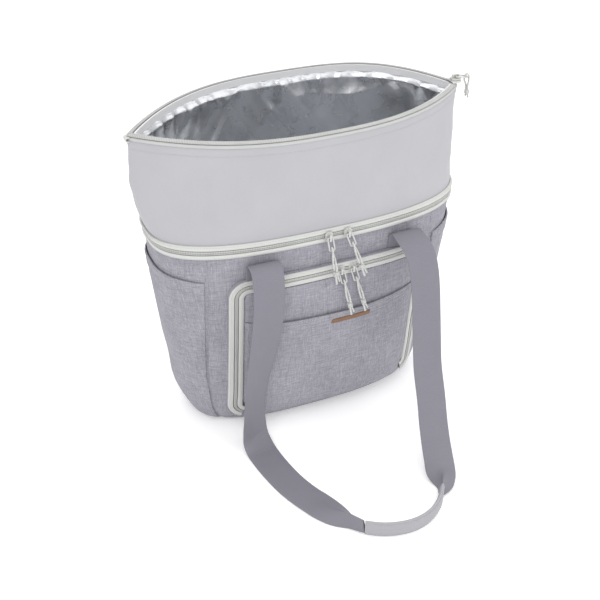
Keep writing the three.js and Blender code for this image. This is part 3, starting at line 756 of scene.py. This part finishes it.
def make_side_pockets():
    for name, start in SIDES:
        outer = np.stack([side_pocket_column(u, start, 1.9, 1) for u in edge_columns(71)])
        inner = np.stack([side_pocket_column(u, start, 0.7, 0) for u in edge_columns(71)])
        slab(f"{name}_side_pocket", outer, inner, [heather], LOWER, "heather_cloth",
             replaces=[f"{name}_slip_pocket"])
        for row, down in (("hem", HEM_STITCH), ("tuck", TUCK_STITCH)):
            line = line_below(outer[3:-3], down)
            normal = unit(line * np.array([1, 2.2, 0]))
            stitches(f"{name}_pocket_{row}_stitch", line + normal * 0.15, normal, LOWER, thread_grey)


# ---- zips: two tapes with a groove and a row of teeth between them ----
BACK_EDGE = 7 * math.pi / 24  # how far past each side's middle the zip runs
TAPE_ROWS = [(8.5, 0.9), (8.35, 2.0), (7.8, 2.5), (5.5, 2.7), (3.6, 2.6), (3.0, 2.1), (2.85, 0.9)]
COIL_ROWS = [(3.2, 0.7), (2.9, 0.8), (2.35, 0.8), (2.2, 1.5), (1.7, 2.1), (0.9, 2.3), (0.3, 2.2), (0.08, 1.0)]
HINGE_REACH = 8.6


def teeth_past(row):
    """Picks the groove's dark colour, which is painted shade, up to a row of the section, and the light teeth
    past it.
    """
    return lambda j: int(j > row)


def zip_angles(count):
    return even_angles(lower_at, ZIP_Z, -math.pi - BACK_EDGE, BACK_EDGE, count)


def zip_band(name, section, sign, rows, looks, slot, node, kind_at=None):
    angles = zip_angles(420)
    up, out = np.array(rows).T
    z = ZIP_Z + sign * up
    outer = section(angles[:, None], z[None, :], out[None, :])
    inner = section(angles[:, None], z[None, :], 0.35)
    slab(name, outer, inner, looks, UPPER if sign > 0 else LOWER, slot, kind_at=kind_at, replaces=[node])


def make_middle_zip():
    for name, section, sign in (("lower", lower_at, -1), ("upper", upper_at, 1)):
        zip_band(f"middle_tape_{name}", section, sign, TAPE_ROWS, [tape_look], "zip_tape",
                 f"mid_zip_tape_{name}")
        zip_band(f"middle_teeth_{name}", section, sign, COIL_ROWS, [groove_painted_shade, coil_light], "zip_coil",
                 f"mid_zip_coil_{name}", kind_at=teeth_past(3.2))
        line = section(zip_angles(300), ZIP_Z + sign * 7.2, 2.62)
        body = LOWER if sign < 0 else UPPER
        stitches(f"middle_tape_stitch_{name}", line, line * [1, 3, 0], body, thread_light)
    # one strip of cloth behind, standing out a little along the line where the two compartments hinge
    angles = even_angles(lower_at, ZIP_Z, BACK_EDGE, math.pi - BACK_EDGE, 120)
    z = np.linspace(ZIP_Z - HINGE_REACH, ZIP_Z + HINGE_REACH, 29)
    rim = 1.4 * np.sqrt(np.clip(1 - (np.abs(z - ZIP_Z) / HINGE_REACH) ** 8, 0, 1))
    outer = lower_at(angles[:, None], z[None, :], (0.7 + rim)[None, :])
    inner = lower_at(angles[:, None], z[None, :], 0.5)
    hinge = slab("rear_hinge_cloth", outer, inner, [heather], None, "heather_cloth",
                 replaces=["hinge_cloth_lower", "hinge_cloth_upper"])
    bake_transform(hinge)


# ---- linings ----
def crinkle(s, d):
    """Folds of a gathered film: sharp pleats under its sewn edge that fade into broad soft creases."""
    pleat = 1 - np.abs(np.sin(s / 8.5 + 1.4 * np.sin(s / 31) + 0.35 * np.sin(d / 7 + s / 19)))
    fan = 1 - np.abs(np.sin((s + 0.5 * d) / 21 + 1.2 * np.sin(s / 47 + d / 33)))
    broad = np.sin(s / 27 + 2.1 * np.sin(d / 41) + 0.8) * np.sin(d / 23 + 1.7 * np.sin(s / 39))
    cross = 1 - np.abs(np.sin((0.7 * s - d) / 29 + 1.5 * np.sin(s / 53)))
    near = np.exp(-d / 14)
    return 3.4 * pleat**1.5 * near + (1 - near) * (1.5 * fan**2 + 1.7 * cross**2 + 1.5 * (broad + 1))


def make_lining(name, section, top, floor, turn_in, body, node):
    """One foil skin: down the wall in pleats, then in over the floor to its centre."""
    angles = even_angles(section, (top + floor) / 2, 0, 2 * math.pi, 301)
    s = distances(section(angles, (top + floor) / 2))
    joined = ease(np.minimum(s, s[-1] - s) / 30)[:, None]  # the folds die out where the skin's ends meet
    down = np.r_[np.linspace(0, 30, 24), np.linspace(32, top - floor, 40)]
    folds = crinkle(s[:, None], down[None, :]) * joined + 1.6 * (1 - joined)
    into = np.interp(down, [0, 2, 6], [turn_in, turn_in + 1.2, LINER_IN])
    deep = ease(down / 3) * folds * ease((top - floor - down) / 6 + 0.15)
    wall = section(angles[:, None], top - down[None, :], -(into + deep))
    share = np.linspace(0.985, CENTRE, 40)
    fade = ease((1 - share) * 12) * share
    creases = 2.2 * crinkle(s[:, None] * 0.6, 60 + 90 * share[None, :]) / 3 * fade[None, :]
    outer = np.concatenate([wall, disc(wall[:, -1:], share, floor + creases * joined)], axis=1)
    inner = outer.copy()
    rows = len(down)
    inner[:, :rows, :2] *= (1 + FOIL_T / np.linalg.norm(outer[:, :rows, :2], axis=-1))[..., None]
    inner[:, rows - 4:, 2] -= FOIL_T
    return slab(name, outer, inner, [silver_foil], body, "foil", loop=True, replaces=[node])


def make_padding(name, section, top, floor, body, node):
    """The foam between cloth and foil, with a soft rounded top edge."""
    angles = even_angles(section, (top + floor) / 2, 0, 2 * math.pi, 121)
    z = np.r_[np.linspace(floor, top - 6, 14), np.linspace(top - 5, top, 6)]
    thin = 2.0 * ease((z - top + 6) / 6)
    share = np.linspace(CENTRE, 0.97, 8)
    out_wall = section(angles[:, None], z[None, :], -(1.8 + thin)[None, :])
    in_wall = section(angles[:, None], z[None, :], -(6.6 - thin)[None, :])
    low, high = disc(out_wall[:, :1], share, floor), disc(in_wall[:, :1], share, floor + FOAM_T)
    in_wall[..., 2] = np.maximum(in_wall[..., 2], floor + FOAM_T)
    outer, inner = np.concatenate([low, out_wall], 1), np.concatenate([high, in_wall], 1)
    piece = slab(name, outer, inner, [foam_look], body, "foam", loop=True, replaces=[node])


def make_upper_floor():
    outline = upper_at(even_angles(upper_at, ZIP_Z + 1, 0, 2 * math.pi, 161)[:, None], ZIP_Z + 1.4, -1.5)
    share = np.linspace(CENTRE, 1, 30)
    sag = 0.5 * np.cos(share * 5 * math.pi) * share * (1 - share)
    under = disc(outline, share, ZIP_Z + 1.3 + sag + 0.8 * share**16)
    slab("upper_floor_cloth", under, under + [0, 0, CLOTH_T], [coated], UPPER, "coated_cloth", loop=True,
         replaces=["upper_floor"])


def make_stiffener():
    """A flat board with a soft edge, under the lower foil."""
    outline = lower_at(even_angles(lower_at, 8, 0, 2 * math.pi, 121)[:, None], 10, -15.0)
    share = np.r_[np.linspace(CENTRE, 0.97, 10), 0.99, 1.0]
    droop = np.array([0.0] * 10 + [-0.3, -0.9])
    top, bottom = disc(outline, share, 7.2 + droop), disc(outline, share, 5.5 - droop * 0.3)
    slab("stiffener", top, bottom, [board_look], LOWER, "board", loop=True, replaces=["base_board"])


def make_linings():
    make_lining("lower_foil", lower_at, ZIP_Z - 1.4, 7.6, 2.0, LOWER, "lower_liner")
    make_lining("upper_foil", upper_at, RIM_Z - 1.5, ZIP_Z + 8.4, 4.6, UPPER, "upper_liner")
    make_padding("lower_padding", lower_at, ZIP_Z - 4, 1.9, LOWER, "lower_insulation")
    make_padding("upper_padding", upper_at, RIM_Z - 4, ZIP_Z + 3.6, UPPER, "upper_insulation")
    make_upper_floor()
    make_stiffener()


# ---- upper compartment ----
UPPER_LEVELS = np.linspace(ZIP_Z + 0.7, RIM_Z, 48)


def make_upper_walls():
    for name, side in FACES:
        angles = side * even_angles(upper_at, 330, 0.0006, math.pi - 0.0006, 201)
        grid = upper_at(angles[:, None], UPPER_LEVELS[None, :])
        first = np.linalg.norm(grid - grid[:1], axis=-1)
        last = np.linalg.norm(grid - grid[-1:], axis=-1)
        near_rim = np.exp(-(((RIM_Z - UPPER_LEVELS) / 1.6) ** 2))[None, :]
        stitched = 0.35 * np.exp(-(((UPPER_LEVELS - RIM_Z + 9) / 1.3) ** 2))[None, :]
        high = ease((UPPER_LEVELS - ZIP_Z) / 90)[None, :]
        gather = np.exp(-np.minimum(first, last) / 16) * high
        clear = gather < 0.97  # the end seams themselves stay straight
        crease = 0.78 * gather * np.sin(UPPER_LEVELS / 7.5 + 1.2 * np.sin(UPPER_LEVELS / 17))[None, :] * clear
        out = crease - 0.5 * near_rim - stitched
        outer = upper_at(angles[:, None], UPPER_LEVELS[None, :], out)
        inner = upper_at(angles[:, None], UPPER_LEVELS[None, :], out - CLOTH_T)
        for wall in (outer, inner):
            wall[..., 1] = side * np.maximum(np.abs(wall[..., 1]), 0.12)
        slab(f"upper_{name}_wall", outer, inner, [coated], UPPER, "coated_cloth",
             replaces=[f"upper_{name}_panel"])
        line = upper_at(angles[4:-4], RIM_Z - 9, 0.0)
        stitches(f"upper_{name}_topstitch", line, line * [1, 3, 0], UPPER, thread_light)


# ---- mouth: rows of height over the rim and distance out of the wall ----
RIM_ROWS = [(0.3, 0.2), (0.8, 0.6), (1.8, 0.7), (3.4, 0.6), (4.1, 0.2), (4.3, -0.6), (4.3, -1.3)]
MOUTH_COIL_ROWS = [
    (3.9, -1.1), (4.2, -0.9), (5.0, -0.8), (5.1, 0.0), (5.7, 0.5), (6.8, 0.5), (7.6, -0.3), (7.9, -1.3),
    (7.9, -2.3),
]
FACING_ROWS = [(-9.5, -4.6), (-9.2, -4.2), (-4, -3.9), (2, -3.6), (5.0, -3.5), (6.3, -3.4), (6.6, -3.6)]
GROOVE_ROWS = [(6.0, -3.05), (6.5, -2.9), (6.9, -2.95), (7.0, -3.2)]


def rim_strip(name, side, rows, inset, looks, slot, replaces=(), kind_at=None):
    """A strip along one rim; its back lies inset from the wall."""
    angles = side * even_angles(upper_at, RIM_Z, 0.012, math.pi - 0.012, 221)
    up, out = np.array(rows).T

    def grid(depth):
        wall = upper_at(angles[:, None], RIM_Z, depth)
        wall = np.broadcast_to(wall, (len(angles), len(up), 3)).copy()
        wall[..., 2] += up[None, :]
        wall[..., 1] = side * np.maximum(np.abs(wall[..., 1]), 0.2)
        return wall

    return slab(name, grid(out[None, :]), grid(inset), looks, UPPER, slot, kind_at=kind_at, replaces=replaces)


def make_mouth():
    for name, side in FACES:
        rim_strip(f"mouth_tape_{name}_band", side, RIM_ROWS, -1.6, [rim_tape], "zip_tape",
                  [f"mouth_tape_{name}"])
        rim_strip(f"mouth_teeth_{name}", side, MOUTH_COIL_ROWS, -3.0, [groove_painted_shade, coil_light], "zip_coil",
                  [f"mouth_coil_{name}"], teeth_past(2.2))
        # the facing's lighter tape is painted light against the shade inside the mouth
        rim_strip(f"mouth_facing_{name}", side, FACING_ROWS, -4.9, [facing_tape_painted_light], "zip_tape")
        # a thin dark strip that paints the shade in the gap behind the mouth's teeth
        rim_strip(f"mouth_groove_{name}", side, GROOVE_ROWS, -3.35, [groove_painted_shade], "zip_coil")
    make_tab()
    make_tail()


def make_tab():
    """A strip of cloth folded over the left tip."""
    z0, tip = RIM_Z + 2, -MOUTH_REACH - MOUTH_SHIFT
    path = smooth_path([(tip + 1, z0 - 2.3), (tip - 1.6, z0 - 2.3), (tip - 3.0, z0 - 1.6), (tip - 3.5, z0),
                        (tip - 3.0, z0 + 1.6), (tip - 1.6, z0 + 2.3), (tip + 1, z0 + 2.4)], 0.5)
    across = np.linspace(-4.4, 4.4, 9)
    side = unit(np.stack([-np.gradient(path[:, 1]), np.gradient(path[:, 0])], -1))

    def grid(off):
        p = path + side * off
        return np.stack([np.stack([p[:, 0], np.full(len(p), y), p[:, 1]], -1) for y in across], 1)

    slab("left_tip_fold", grid(0.5), grid(-0.5), [tape_look], UPPER, "coated_cloth", replaces=["mouth_tab"])


def make_tail():
    """The zip's tail: both tapes run a little past the right tip, under the parked slider."""
    x = TAIL_X + np.linspace(-6.9, 6.9, 24)
    half = 7.3 * np.sqrt(np.clip(1 - (np.maximum(x - TAIL_X - 0.6, 0) / 6.5) ** 4, 0.02, 1))
    y = np.linspace(-1, 1, 15)
    z = TAIL_TOP - 0.1 - 0.6 * np.abs(y) ** 3
    outer = np.stack([np.stack([np.full(len(y), a), y * h, z], -1) for a, h in zip(x, half)])
    inner = outer - np.array([0, 0, 1.3])
    slab("mouth_tail_tape", outer, inner, [tape_look], UPPER, "zip_tape", replaces=["mouth_zip_tail"])


# ---- front pocket ----
PANEL_X = POCKET_X - 17.2
PANEL_LOW, PANEL_HIGH = POCKET_BOTTOM + 5, POCKET_TOP - 17.6


LOW_ROUND, TOP_ROUND = 22, 24
GUSSET_ROWS = [(0, 0.8), (0.05, 3), (0.2, 5.3), (0.9, 5.5), (1.4, 5.2)]
POCKET_TAPE_ROWS = [(0, 5.6), (0.15, 6.8), (0.8, 7.2), (3.4, 7.5), (5.2, 7.4), (5.8, 6.9), (5.95, 5.9)]
POCKET_COIL_ROWS = [
    (5.6, 5.7), (5.9, 5.8), (6.4, 5.8), (6.6, 6.6), (7.0, 7.2), (7.7, 7.4), (8.3, 7.2), (8.38, 5.9),
]
SLIP_HEM, SLIP_RISE, SLIP_SWELL = 166, 6, 2.4
TAG_LONG, TAG_HIGH, TAG_DOWN, TAG_THICK = 51, 6.6, 8.2, 1.7
STRAIGHT_OUT = [0, -1, 0]


def arc(x, z, radius, turns):
    """Rows of x, z and outward direction along an arc round a centre."""
    return [(x + radius * math.cos(t), z + radius * math.sin(t), math.cos(t), math.sin(t)) for t in turns]


def pocket_outline():
    """The pocket's edge as rows of x, z and outward direction: up one side, across and down the other."""
    half = arc(POCKET_X - LOW_ROUND, POCKET_BOTTOM + LOW_ROUND, LOW_ROUND, np.linspace(-1.25, -0.1, 12))
    half += [(POCKET_X, z, 1, 0) for z in np.linspace(40, 203, 60)]
    half += arc(POCKET_X - TOP_ROUND, POCKET_TOP - TOP_ROUND, TOP_ROUND, np.linspace(0.03, math.pi / 2, 20))
    half += [(x, POCKET_TOP, 0, 1) for x in np.linspace(96, 3, 34)]
    right = np.array(half)
    left = right[::-1] * np.array([-1, 1, -1, 1])
    return np.concatenate([right, [[0, POCKET_TOP, 0, 1]], left]) + np.array([POCKET_MID, 0, 0, 0])


def pocket_strip(name, rows, base, looks, slot, node, kind_at=None):
    """A strip inside the pocket's edge; rows are (distance in from the edge, height off the wall)."""
    edge = pocket_outline()

    def grid(heights):
        return np.stack([face_at(edge[:, 0] - edge[:, 2] * s, edge[:, 1] - edge[:, 3] * s, out)
                         for (s, _), out in zip(rows, heights)], 1)

    slab(name, grid([r[1] for r in rows]), grid([base] * len(rows)), looks, LOWER, slot, kind_at=kind_at,
         replaces=[node])


def mirrored(rows, span):
    """The same section on the zip's other side; span is the zip's whole width."""
    return [(span - s, out) for s, out in rows][::-1]


def make_pocket_zip():
    pocket_strip("pocket_side_wall", GUSSET_ROWS, 0.6, [heather], "heather_cloth", "pocket_gusset")
    teeth = [groove_painted_shade, coil_light]
    pocket_strip("pocket_outer_tape", POCKET_TAPE_ROWS, 5.3, [tape_look], "zip_tape", "pocket_tape_outer")
    pocket_strip("pocket_teeth_outer", POCKET_COIL_ROWS, 5.2, teeth, "zip_coil", "pocket_coil_outer",
                 teeth_past(3.2))
    pocket_strip("pocket_teeth_inner", mirrored(POCKET_COIL_ROWS, 16.8), 5.2, teeth, "zip_coil",
                 "pocket_coil_inner", lambda j: int(j < 4.5))
    pocket_strip("pocket_inner_tape", mirrored(POCKET_TAPE_ROWS, 16.9), 5.3, [tape_look], "zip_tape",
                 "pocket_tape_inner")
    edge = pocket_outline()
    line = face_at(edge[:, 0] - edge[:, 2] * 1.6, edge[:, 1] - edge[:, 3] * 1.6, 7.45)
    stitches("pocket_tape_stitch", line, np.tile(STRAIGHT_OUT, (len(line), 1)), LOWER, thread_light)


def panel_half(z):
    """Half the panel's width: less round its top corners and towards its low edge."""
    over = np.maximum(z - (POCKET_TOP - 25.5), 0)
    low = PANEL_X - np.interp(z, [22, 34, 46], [6.8, 4.5, 0])
    return low - (9 - np.sqrt(np.maximum(81 - over * over, 0)))


def panel_bow(u, z):
    """How far the panel stands out: its bow, the dip at its seams and soft ripples."""
    v = (z - PANEL_LOW) / (PANEL_HIGH - PANEL_LOW)
    bow = 7 * (1 - u**4) * (1 - (2 * v - 1) ** 4)
    dip = -1.0 * np.exp(-(((1 - abs(u)) * PANEL_X / 2.5) ** 2))
    ripple = 0.5 * np.sin(z / 19 + 2.2 * u) * np.sin(3.3 * u + z / 31) * (1 - u**4)
    return bow + dip + ripple


def hem_at(u):
    return SLIP_HEM + SLIP_RISE * u * u


PANEL_COLUMNS = edge_columns(91)


def make_pocket_panel():
    share = np.r_[0, 0.004, 0.01, np.linspace(0.02, 0.98, 70), 0.99, 0.996, 1]
    z = PANEL_LOW + share * (PANEL_HIGH - PANEL_LOW)

    def sheet(out, narrower):
        return np.stack([face_at(POCKET_MID + u * (panel_half(z) - narrower), z, out + panel_bow(u, z))
                         for u in PANEL_COLUMNS])

    slab("pocket_front", sheet(7.1, 0.6), sheet(7.1 - CLOTH_T, 0), [heather], LOWER, "heather_cloth",
         replaces=["pocket_panel"])


def slip_column(u, out, relief):
    """One column of the front slip pocket, up to its hem; relief is 1 where the hem's fold shows."""
    share = np.r_[0, 0.005, np.linspace(0.015, 0.9, 50), np.linspace(0.905, 1, 22)]
    z = PANEL_LOW + share * (hem_at(u) - PANEL_LOW)
    below = hem_at(u) - z
    swell = SLIP_SWELL * max(math.cos(math.pi * u / 2), 0) ** 0.7 * (z / hem_at(u)) ** 8
    fold = (0.7 * ease((13 - below) / 1.5) - 0.6 * ease(1.0 - below)) * relief
    return face_at(POCKET_MID + u * (panel_half(z) - 1), z, out + panel_bow(u, z) + swell + fold)


def make_front_slip():
    outer = np.stack([slip_column(u, 8.9, 1) for u in PANEL_COLUMNS])
    inner = np.stack([slip_column(u, 7.7, 0) for u in PANEL_COLUMNS])
    slab("front_slip", outer, inner, [heather], LOWER, "heather_cloth", replaces=["front_slip_pocket"])
    for row, down in (("edge", 2.2), ("hem", 6.5), ("fold", 11.8)):
        line = line_below(outer[3:-3], down)
        ahead = np.tile(STRAIGHT_OUT, (len(line), 1))
        stitches(f"front_slip_{row}_stitch", line + ahead * 0.12, ahead, LOWER, thread_light)


def make_tag():
    """The plain leather strip sewn under the slip pocket's hem."""
    half = PANEL_X - 1
    heights = np.linspace(0, 1, 9)
    x = np.linspace(0, TAG_LONG, 45)
    round_edge = np.sqrt(np.clip(1 - np.abs(2 * heights - 1) ** 6, 0.02, 1))

    def sheet(thick):
        rows = []
        for across in x:
            u = (across - POCKET_MID) / half
            z = hem_at(u) - TAG_DOWN - TAG_HIGH + heights * TAG_HIGH
            swell = SLIP_SWELL * (z / hem_at(u)) ** 8
            end = math.sqrt(max(1 - abs(2 * across / TAG_LONG - 1) ** 16, 0.04))
            rows.append(face_at(across, z, 9.4 + panel_bow(u, z) + swell + thick * round_edge * end))
        return np.stack(rows)

    slab("leather_strip", sheet(TAG_THICK), sheet(0.0), [leather], LOWER, "tag_leather",
         replaces=["leather_tag"])


def make_front_pocket():
    make_pocket_zip()
    make_pocket_panel()
    make_front_slip()
    make_tag()


# ---- straps ----
ACROSS = (1, 0, 0)
FULL_FOLD = math.radians(86)
WEB_STEP = 2.6
# how far across the webbing its points lie, closer together at its fold and its edges
WEB_PLACES = np.array([-1, -0.965, -0.9, -0.7, -0.45, -0.22, -0.1, 0, 0.1, 0.22, 0.45, 0.7, 0.9, 0.965, 1])


def strap_stop(x, y, z, fold=0.0, across=ACROSS):
    return (x, y, z, *across, fold)


def anchor_stops(side):
    """Up the wall from the pocket's top edge and out over the fold."""
    x = POCKET_MID + side * ANCHOR_X
    y = face_at(abs(x) - WEB / 2, 245)[1] - 1.3
    stops = ((0, POCKET_TOP + 1), (0, 243), (1.3, 249), (4.6, 252.6))
    return [strap_stop(x, y - ahead, z) for ahead, z in stops]


LEFT_LEG = [strap_stop(*stop) for stop in (
    (-84.5, -LEG_Y, 253.2), (-84.5, -97, 251.2), (-84.8, -102.5, 244), (-85.3, -107, 225), (-87, -109, 195),
    (-92.5, -108.5, 150, 0, (1, 0.15, 0)), (-99.5, -105, 100, 0, (1, 0.35, 0)),
    (-102.5, -101.5, 55, 0, (1, 0.5, 0)), (-103.2, -101.5, 29, 0, (1, 0.42, 0)),
    (-102.8, -105, 12, 0, (1, 0.3, 0)), (-101.6, -115.5, 3.6, 0, (1, 0.15, 0)),
    (-99.8, -133, 1.4, 0, (1, 0.12, 0)), (-97, -154, 1.3, 0, (1, 0.24, 0)),
    (-88.5, -192, 1.4, 0, (1, 0.46, 0)),
    (-75, -226, 3.0, 0.04, (1, 0.55, 0)), (-65, -247, 9.5, 0.35, (0.85, 0.6, 0)),
    (-55, -267, 17.5, 0.8, (0.75, 0.7, 0)), (-45.6, -285.5, 20.6, 1.0, (0.65, 0.75, 0)),
)]
RIGHT_LEG = [strap_stop(*stop) for stop in (
    (97.5, -LEG_Y, 253.2), (97.5, -99, 251.6), (100, -109, 246), (102.5, -118, 236), (103, -127.5, 219),
    (102, -136, 198), (100, -145, 172), (97, -156, 143), (94.3, -168, 110), (91.2, -187, 78),
    (86.8, -207, 46), (83, -226, 24), (79.5, -241, 15.5, 0.15, (1, 0.1, 0)),
    (75, -254, 16.5, 0.6, (0.95, 0.5, 0)), (66.8, -267.5, 20.2, 0.97, (0.75, -0.65, 0)),
)]
GRIP = [
    (-44.4, -287.6, 11), (-30, -296.5, 11), (-8, -304, 11), (14, -305, 11), (34, -299, 11), (50, -288, 11),
    (65.4, -269.8, 11),
]
GRIP_STEP, GRIP_HALF, GRIP_HIGH = 2.5, 2.9, 10.5


def web_rings(stops):
    """Rings of a webbing strip that can fold in half lengthwise."""
    rows = smooth_path(stops, WEB_STEP)
    centre, across, fold = rows[:, :3], rows[:, 3:6], np.clip(rows[:, 6:7], 0, 1)
    along = unit(np.gradient(centre, axis=0))
    across = unit(across - along * (across * along).sum(-1, keepdims=True))
    face = np.cross(across, along)
    face *= np.where(fold > 0.001, np.sign(face[:, 2:3] + 1e-9), 1)
    q = WEB_PLACES[None, :] * WEB / 2
    angle = fold * FULL_FOLD
    soft = 3.0 * (1 - fold) + 1.0
    lateral = q * np.cos(angle)
    fallen = -(np.sqrt(q * q + soft * soft) - soft) * np.sin(angle)
    middle = centre[:, None] + lateral[..., None] * across[:, None] + fallen[..., None] * face[:, None]
    slope = unit(np.gradient(middle, axis=1))
    normal = unit(np.cross(slope, along[:, None]))
    thin = WEB_T / 2 * np.sqrt(np.clip(1 - np.abs(WEB_PLACES) ** 14, 0.05, 1))[None, :, None]
    upper, lower = middle + normal * thin, middle - normal * thin
    return np.concatenate([upper, lower[:, ::-1]], axis=1)


def make_strap(name, spin):
    """One carrying strap; spin 1 is the front one, and -1 turns it half round to the back."""
    facing = np.array([spin, spin, 1])
    for side, sign, leg in (("left", -1, LEFT_LEG), ("right", 1, RIGHT_LEG)):
        web = make(f"{name}_webbing_{side}", *tube_parts(web_rings(anchor_stops(sign) + leg) * facing))
        piece = finish_piece(web, [webbing], None, "webbing", sharp=60,
                             replaces=[f"{name}_anchor_{side}", f"{name}_strap_{side}"])
        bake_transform(piece)
    make_grip(name, facing)


def make_grip(name, facing):
    """The padded sleeve that folds over both ends of the webbing."""
    path = smooth_path(GRIP, GRIP_STEP)
    out = unit(np.cross(unit(np.gradient(path, axis=0)), [0, 0, 1]))
    turn = np.linspace(0, 2 * math.pi, 33)[:-1]
    high = GRIP_HIGH * power(np.sin(turn), 0.45)
    pinched = 1 - 0.35 * (np.abs(high) > 8.0) - 0.12 * (np.abs(high) > 6.0)
    rings = []
    for i, p in enumerate(path):
        end = min(i, len(path) - 1 - i) * GRIP_STEP
        wide = (GRIP_HALF - 0.5 * math.exp(-end / 3)) * power(np.cos(turn), 0.6) * pinched
        rings.append(p + high[:, None] * np.array([0, 0, 1]) + wide[:, None] * out[i])
    sleeve = make(f"{name}_grip_sleeve", *tube_parts(np.array(rings) * facing))
    grip = finish_piece(sleeve, [grip_look], f"{name}_strap", "grip_cloth", [f"{name}_grip"], sharp=50)
    for row, height in (("top", 7.6), ("bottom", -7.8)):
        line = (path[1:-1] + [0, 0, height] + out[1:-1] * 2.45) * facing
        stitches(f"{name}_grip_{row}_stitch", line, out[1:-1] * facing, f"{name}_strap", thread_light)


# ---- sliders ----
BEVEL_WIDTH, BEVEL_ANGLE = 0.00035, math.radians(35)


def finish_sliders():
    for pull in PULLS:
        for node in (f"{pull.name}_slider", f"{pull.name}_puller"):
            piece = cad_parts[node]
            piece.data.materials.clear()
            piece.data.materials.append(metal)
            edge = piece.modifiers.new("rounded", "BEVEL")
            edge.width, edge.segments, edge.limit_method = BEVEL_WIDTH, 2, "ANGLE"
            edge.angle_limit = BEVEL_ANGLE


make_lower_walls()
make_side_pockets()
make_middle_zip()
make_linings()
make_upper_walls()
make_mouth()
make_front_pocket()
make_strap("front", 1)
make_strap("rear", -1)
finish_sliders()


# ---- floor and light ----
# FLOOR_GLOW makes the floor glow faintly: painted light that lifts the bag's shadow on the floor to white
FLOOR_SIZE, FLOOR_GLOW, SKY = 6.0, 0.16, 0.86
LIT_POINT = Vector((0, 0, 0.2))


def area_light(name, place, size, watts):
    data = bpy.data.lights.new(name, "AREA")
    data.energy, data.size = watts, size
    lamp = bpy.data.objects.new(name, data)
    lamp.location = place
    lamp.rotation_euler = (LIT_POINT - Vector(place)).to_track_quat("-Z", "Y").to_euler()
    bpy.context.scene.collection.objects.link(lamp)


def make_floor():
    corners = np.array([[-1, -1, 0], [1, -1, 0], [1, 1, 0], [-1, 1, 0]]) * FLOOR_SIZE / MM
    floor = make("floor", corners, [[0, 1, 2, 3]], [(0, 0), (1, 0), (1, 1), (0, 1)])
    material, shader, add, join = graph("pale_floor")
    tone = noise(add, add("TexCoord").outputs["Object"], (2, 2, 2))
    join(ramp(add, tone, [(0.3, (0.96, 0.96, 0.96)), (0.7, (0.97, 0.97, 0.97))]), "Base Color")
    shader.inputs["Roughness"].default_value = 0.9
    shader.inputs["Specular IOR Level"].default_value = 0.1
    shader.inputs["Emission Color"].default_value = (1, 1, 1, 1)
    shader.inputs["Emission Strength"].default_value = FLOOR_GLOW
    floor.data.materials.append(material)


def make_studio():
    make_floor()
    area_light("key", (-1.3, -1.9, 2.3), 2.4, 34)
    area_light("fill", (2.0, -1.5, 1.6), 2.6, 17)
    area_light("top", (0.2, 0.6, 2.6), 2.8, 24)
    world = bpy.data.worlds.new("studio")
    world.use_nodes = True
    background = world.node_tree.nodes["Background"]
    background.inputs[0].default_value = (1, 1, 1, 1)
    background.inputs[1].default_value = SKY
    scene = bpy.context.scene
    scene.world = world
    scene.view_settings.view_transform = "Standard"


make_studio()
